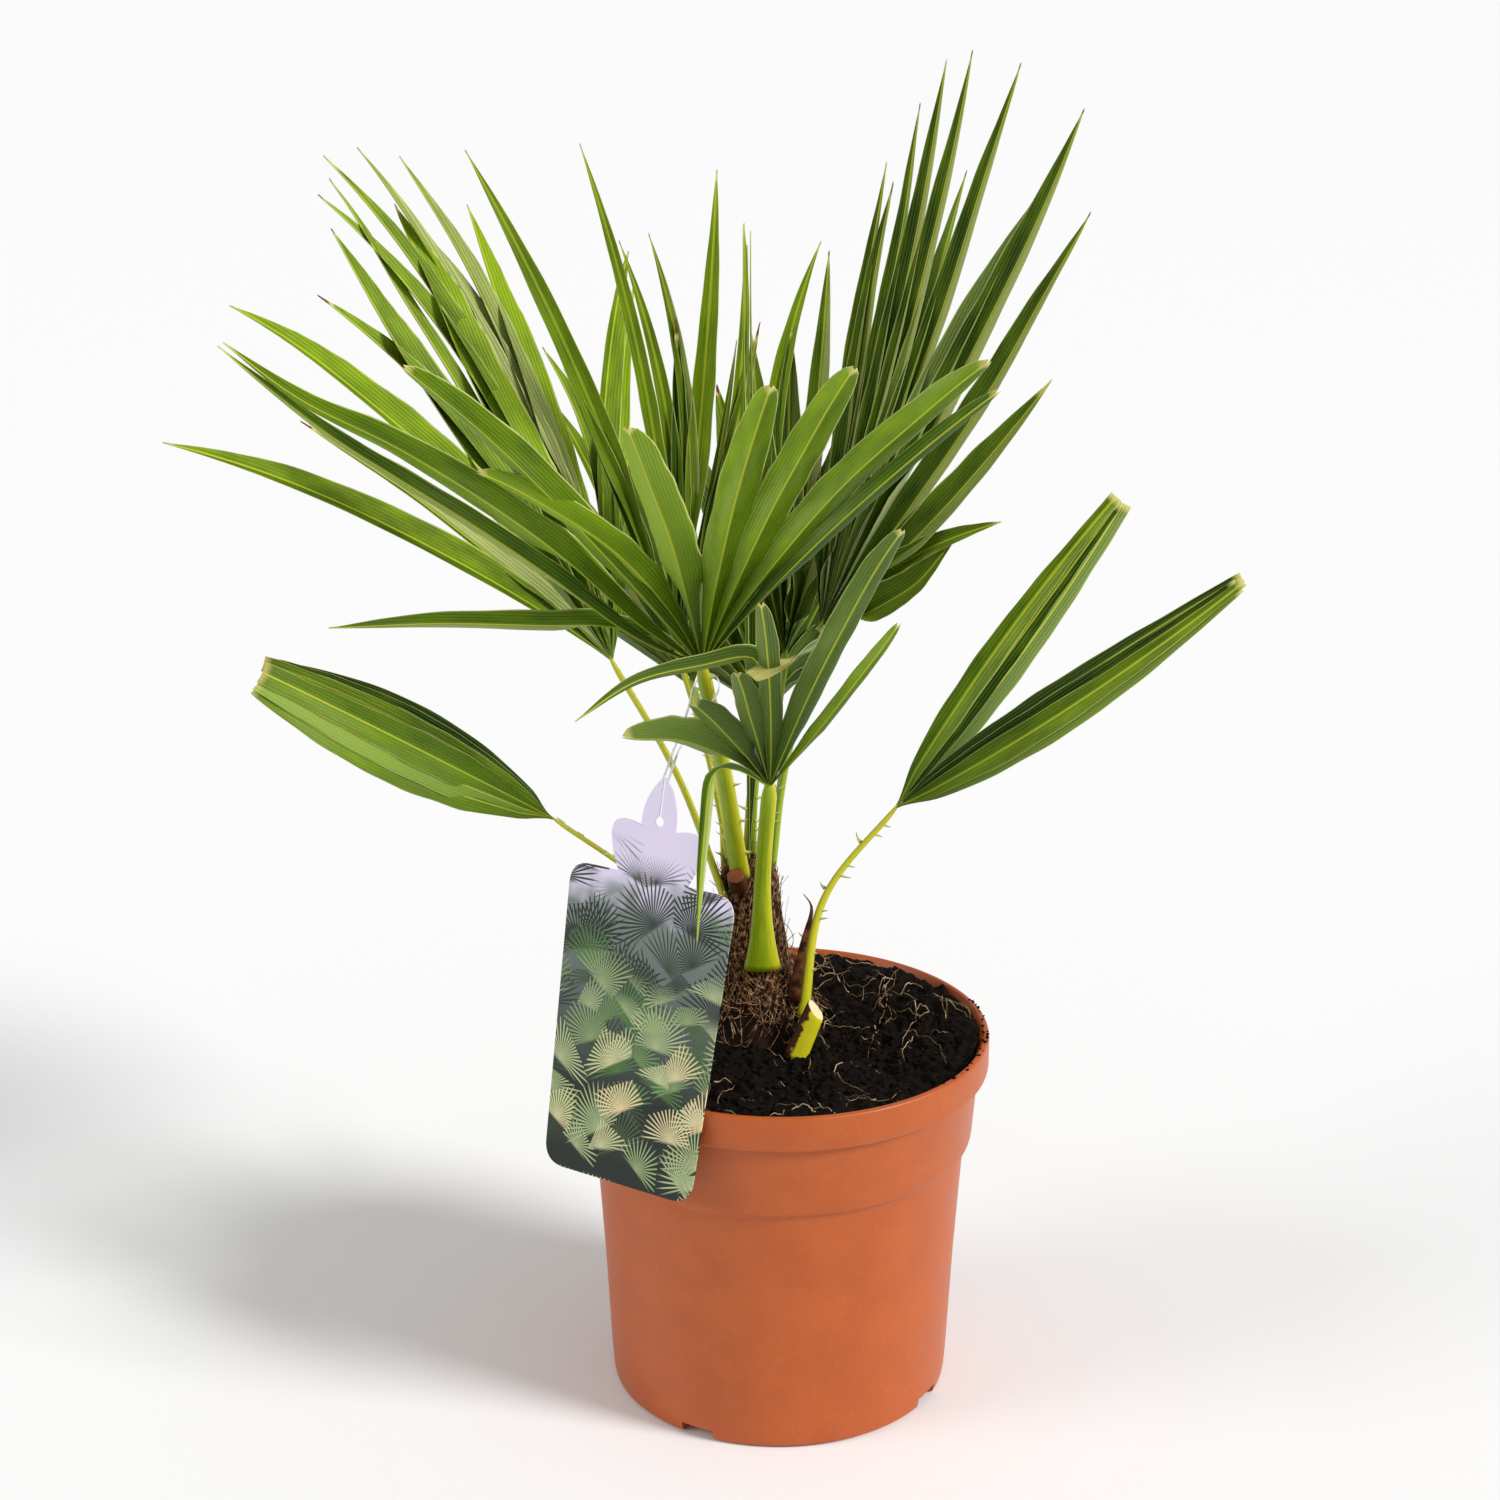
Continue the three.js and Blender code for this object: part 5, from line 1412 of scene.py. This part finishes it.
class PALM_OT_fronds(bpy.types.Operator):
    """Builds the open blades, the cut blades and the spear"""

    bl_idname = "palm.fronds"
    bl_label = "Fronds"

    def execute(self, context):
        finish = leaf_material(context.scene.palm_leaf)
        for number, (name, frond) in enumerate(FRONDS.items()):
            skin = Skin("leaf_place", "leaf_tone")
            add_fan(skin, name, frond, random.Random(40 + number))
            piece = add_piece(f"fan_{name}", skin.mesh(f"fan_{name}"), finish)
            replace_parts(piece, f"blade_{name}")
        for number, (name, forms) in enumerate(FOLDED_BLADES.items()):
            skin = Skin("leaf_place", "leaf_tone")
            for form in forms:
                add_folded_blade(skin, CUT_STALKS[name]["hub"], form, random.Random(70 + number))
            piece = add_piece(f"fan_{name}", skin.mesh(f"fan_{name}"), finish)
            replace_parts(piece, f"blade_{name}")
        skin = Skin("leaf_place", "leaf_tone")
        add_folded_blade(skin, SPEAR["foot"], SPEAR, random.Random(80))
        piece = add_piece("closed_spear", skin.mesh("closed_spear"), finish)
        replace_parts(piece, "spear_leaf")
        return {"FINISHED"}


class PALM_OT_leavings(bpy.types.Operator):
    """Builds the cut stump, the leaf scar and the dry sheath"""

    bl_idname = "palm.leavings"
    bl_label = "Old Leaf Bases"

    def execute(self, context):
        settings = context.scene.palm_leaf
        stump = build_limb("petiole_stump", STUMP)
        yellow = cut_material("cut_petiole", settings.stalk_yellow, "#4f2414", "#e9dba6", 1.05)
        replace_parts(add_piece("petiole_stump", stump, yellow), "cut_stump")
        brown = plain_fibre_material("dry_sheath", "#3c1d0f", "#8a5533")
        scar = build_limb("old_leaf_scar", SCAR)
        healed = cut_material("healed_leaf_base", linear("#4a2212"), "#220e07", "#7e4220", 0.9)
        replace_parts(add_piece("old_leaf_scar", scar, healed), "leaf_scar")
        line, _ = even_line(SHEATH["route"], 24)
        skin = Skin()
        radii = np.linspace(*SHEATH["widths"], len(line))
        skin.tube(strand_rings(line, radii, 12, SHEATH["flatten"]))
        sheath = add_piece("withered_sheath", skin.mesh("withered_sheath"), brown)
        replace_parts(sheath, "dry_sheath")
        return {"FINISHED"}


class PALM_OT_label(bpy.types.Operator):
    """Builds the hanging label and its strap"""

    bl_idname = "palm.label"
    bl_label = "Label"

    def execute(self, context):
        card = label_material(context.scene.palm_label)
        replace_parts(add_piece("label_board", build_label(), card), "hang_label")
        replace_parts(add_piece("label_strap", build_strap(), strap_material()), "hang_label")
        return {"FINISHED"}


class PALM_OT_stage(bpy.types.Operator):
    """Adds the floor, the lights and the camera"""

    bl_idname = "palm.stage"
    bl_label = "Stage"

    def execute(self, context):
        scene, settings = context.scene, context.scene.palm_stage
        bm = bmesh.new()
        bmesh.ops.create_grid(bm, x_segments=1, y_segments=1, size=FLOOR_HALF)
        floor = bpy.data.objects.new("floor", bmesh_to_mesh("floor", bm, smooth=False))
        scene.collection.objects.link(floor)
        material, tree = new_material("painted_floor")
        finish_material(tree, opaque(settings.floor), (), 0.85, 0.2)
        floor.data.materials.append(material)

        for name, place, angle, power in (
            ("key_light", (1.7, -0.8, 1.3), 18, settings.key),
            ("fill_light", (-1.7, -0.6, 0.9), 30, settings.fill),
        ):
            light = bpy.data.lights.new(name, "SUN")
            light.angle, light.energy = math.radians(angle), power
            lamp = bpy.data.objects.new(name, light)
            lamp.location = place
            lamp.rotation_euler = (-Vector(place)).to_track_quat("-Z", "Y").to_euler()
            scene.collection.objects.link(lamp)

        world = bpy.data.worlds.new("studio")
        world.use_nodes = True
        world.node_tree.nodes["Background"].inputs[0].default_value = (1, 1, 1, 1)
        world.node_tree.nodes["Background"].inputs[1].default_value = settings.sky
        scene.world = world
        scene.view_settings.view_transform = "Standard"

        camera = bpy.data.objects.new("camera", bpy.data.cameras.new("camera"))
        camera.data.lens, camera.data.sensor_width = settings.lens, 36
        camera.data.clip_end = 2.5 * FLOOR_HALF * MM
        camera.location = CAMERA["place"]
        camera.rotation_euler = (math.radians(CAMERA["tilt"]), 0, 0)
        scene.collection.objects.link(camera)
        scene.camera = camera
        return {"FINISHED"}


OPERATORS = (
    PALM_OT_stage,
    PALM_OT_pot,
    PALM_OT_soil,
    PALM_OT_trunk,
    PALM_OT_stalks,
    PALM_OT_fronds,
    PALM_OT_leavings,
    PALM_OT_label,
)


class PALM_PT_panel(bpy.types.Panel):
    """Lists the steps that build the palm"""

    bl_label = "Fan Palm"
    bl_idname = "PALM_PT_panel"
    bl_space_type = "VIEW_3D"
    bl_region_type = "UI"
    bl_category = "Fan Palm"

    def draw(self, context):
        for operator in OPERATORS:
            self.layout.operator(operator.bl_idname)


CLASSES = (PotSettings, LeafSettings, LabelSettings, StageSettings, *OPERATORS, PALM_PT_panel)


def register():
    for cls in CLASSES:
        bpy.utils.register_class(cls)
    bpy.types.Scene.palm_pot = PointerProperty(type=PotSettings)
    bpy.types.Scene.palm_leaf = PointerProperty(type=LeafSettings)
    bpy.types.Scene.palm_label = PointerProperty(type=LabelSettings)
    bpy.types.Scene.palm_stage = PointerProperty(type=StageSettings)


def unregister():
    del bpy.types.Scene.palm_pot, bpy.types.Scene.palm_leaf
    del bpy.types.Scene.palm_label, bpy.types.Scene.palm_stage
    for cls in reversed(CLASSES):
        bpy.utils.unregister_class(cls)


def main():
    register()
    bpy.ops.palm.stage()
    bpy.ops.palm.pot()
    bpy.ops.palm.soil()
    bpy.ops.palm.trunk()
    bpy.ops.palm.stalks()
    bpy.ops.palm.fronds()
    bpy.ops.palm.leavings()
    bpy.ops.palm.label()


if __name__ == "__main__":
    main()
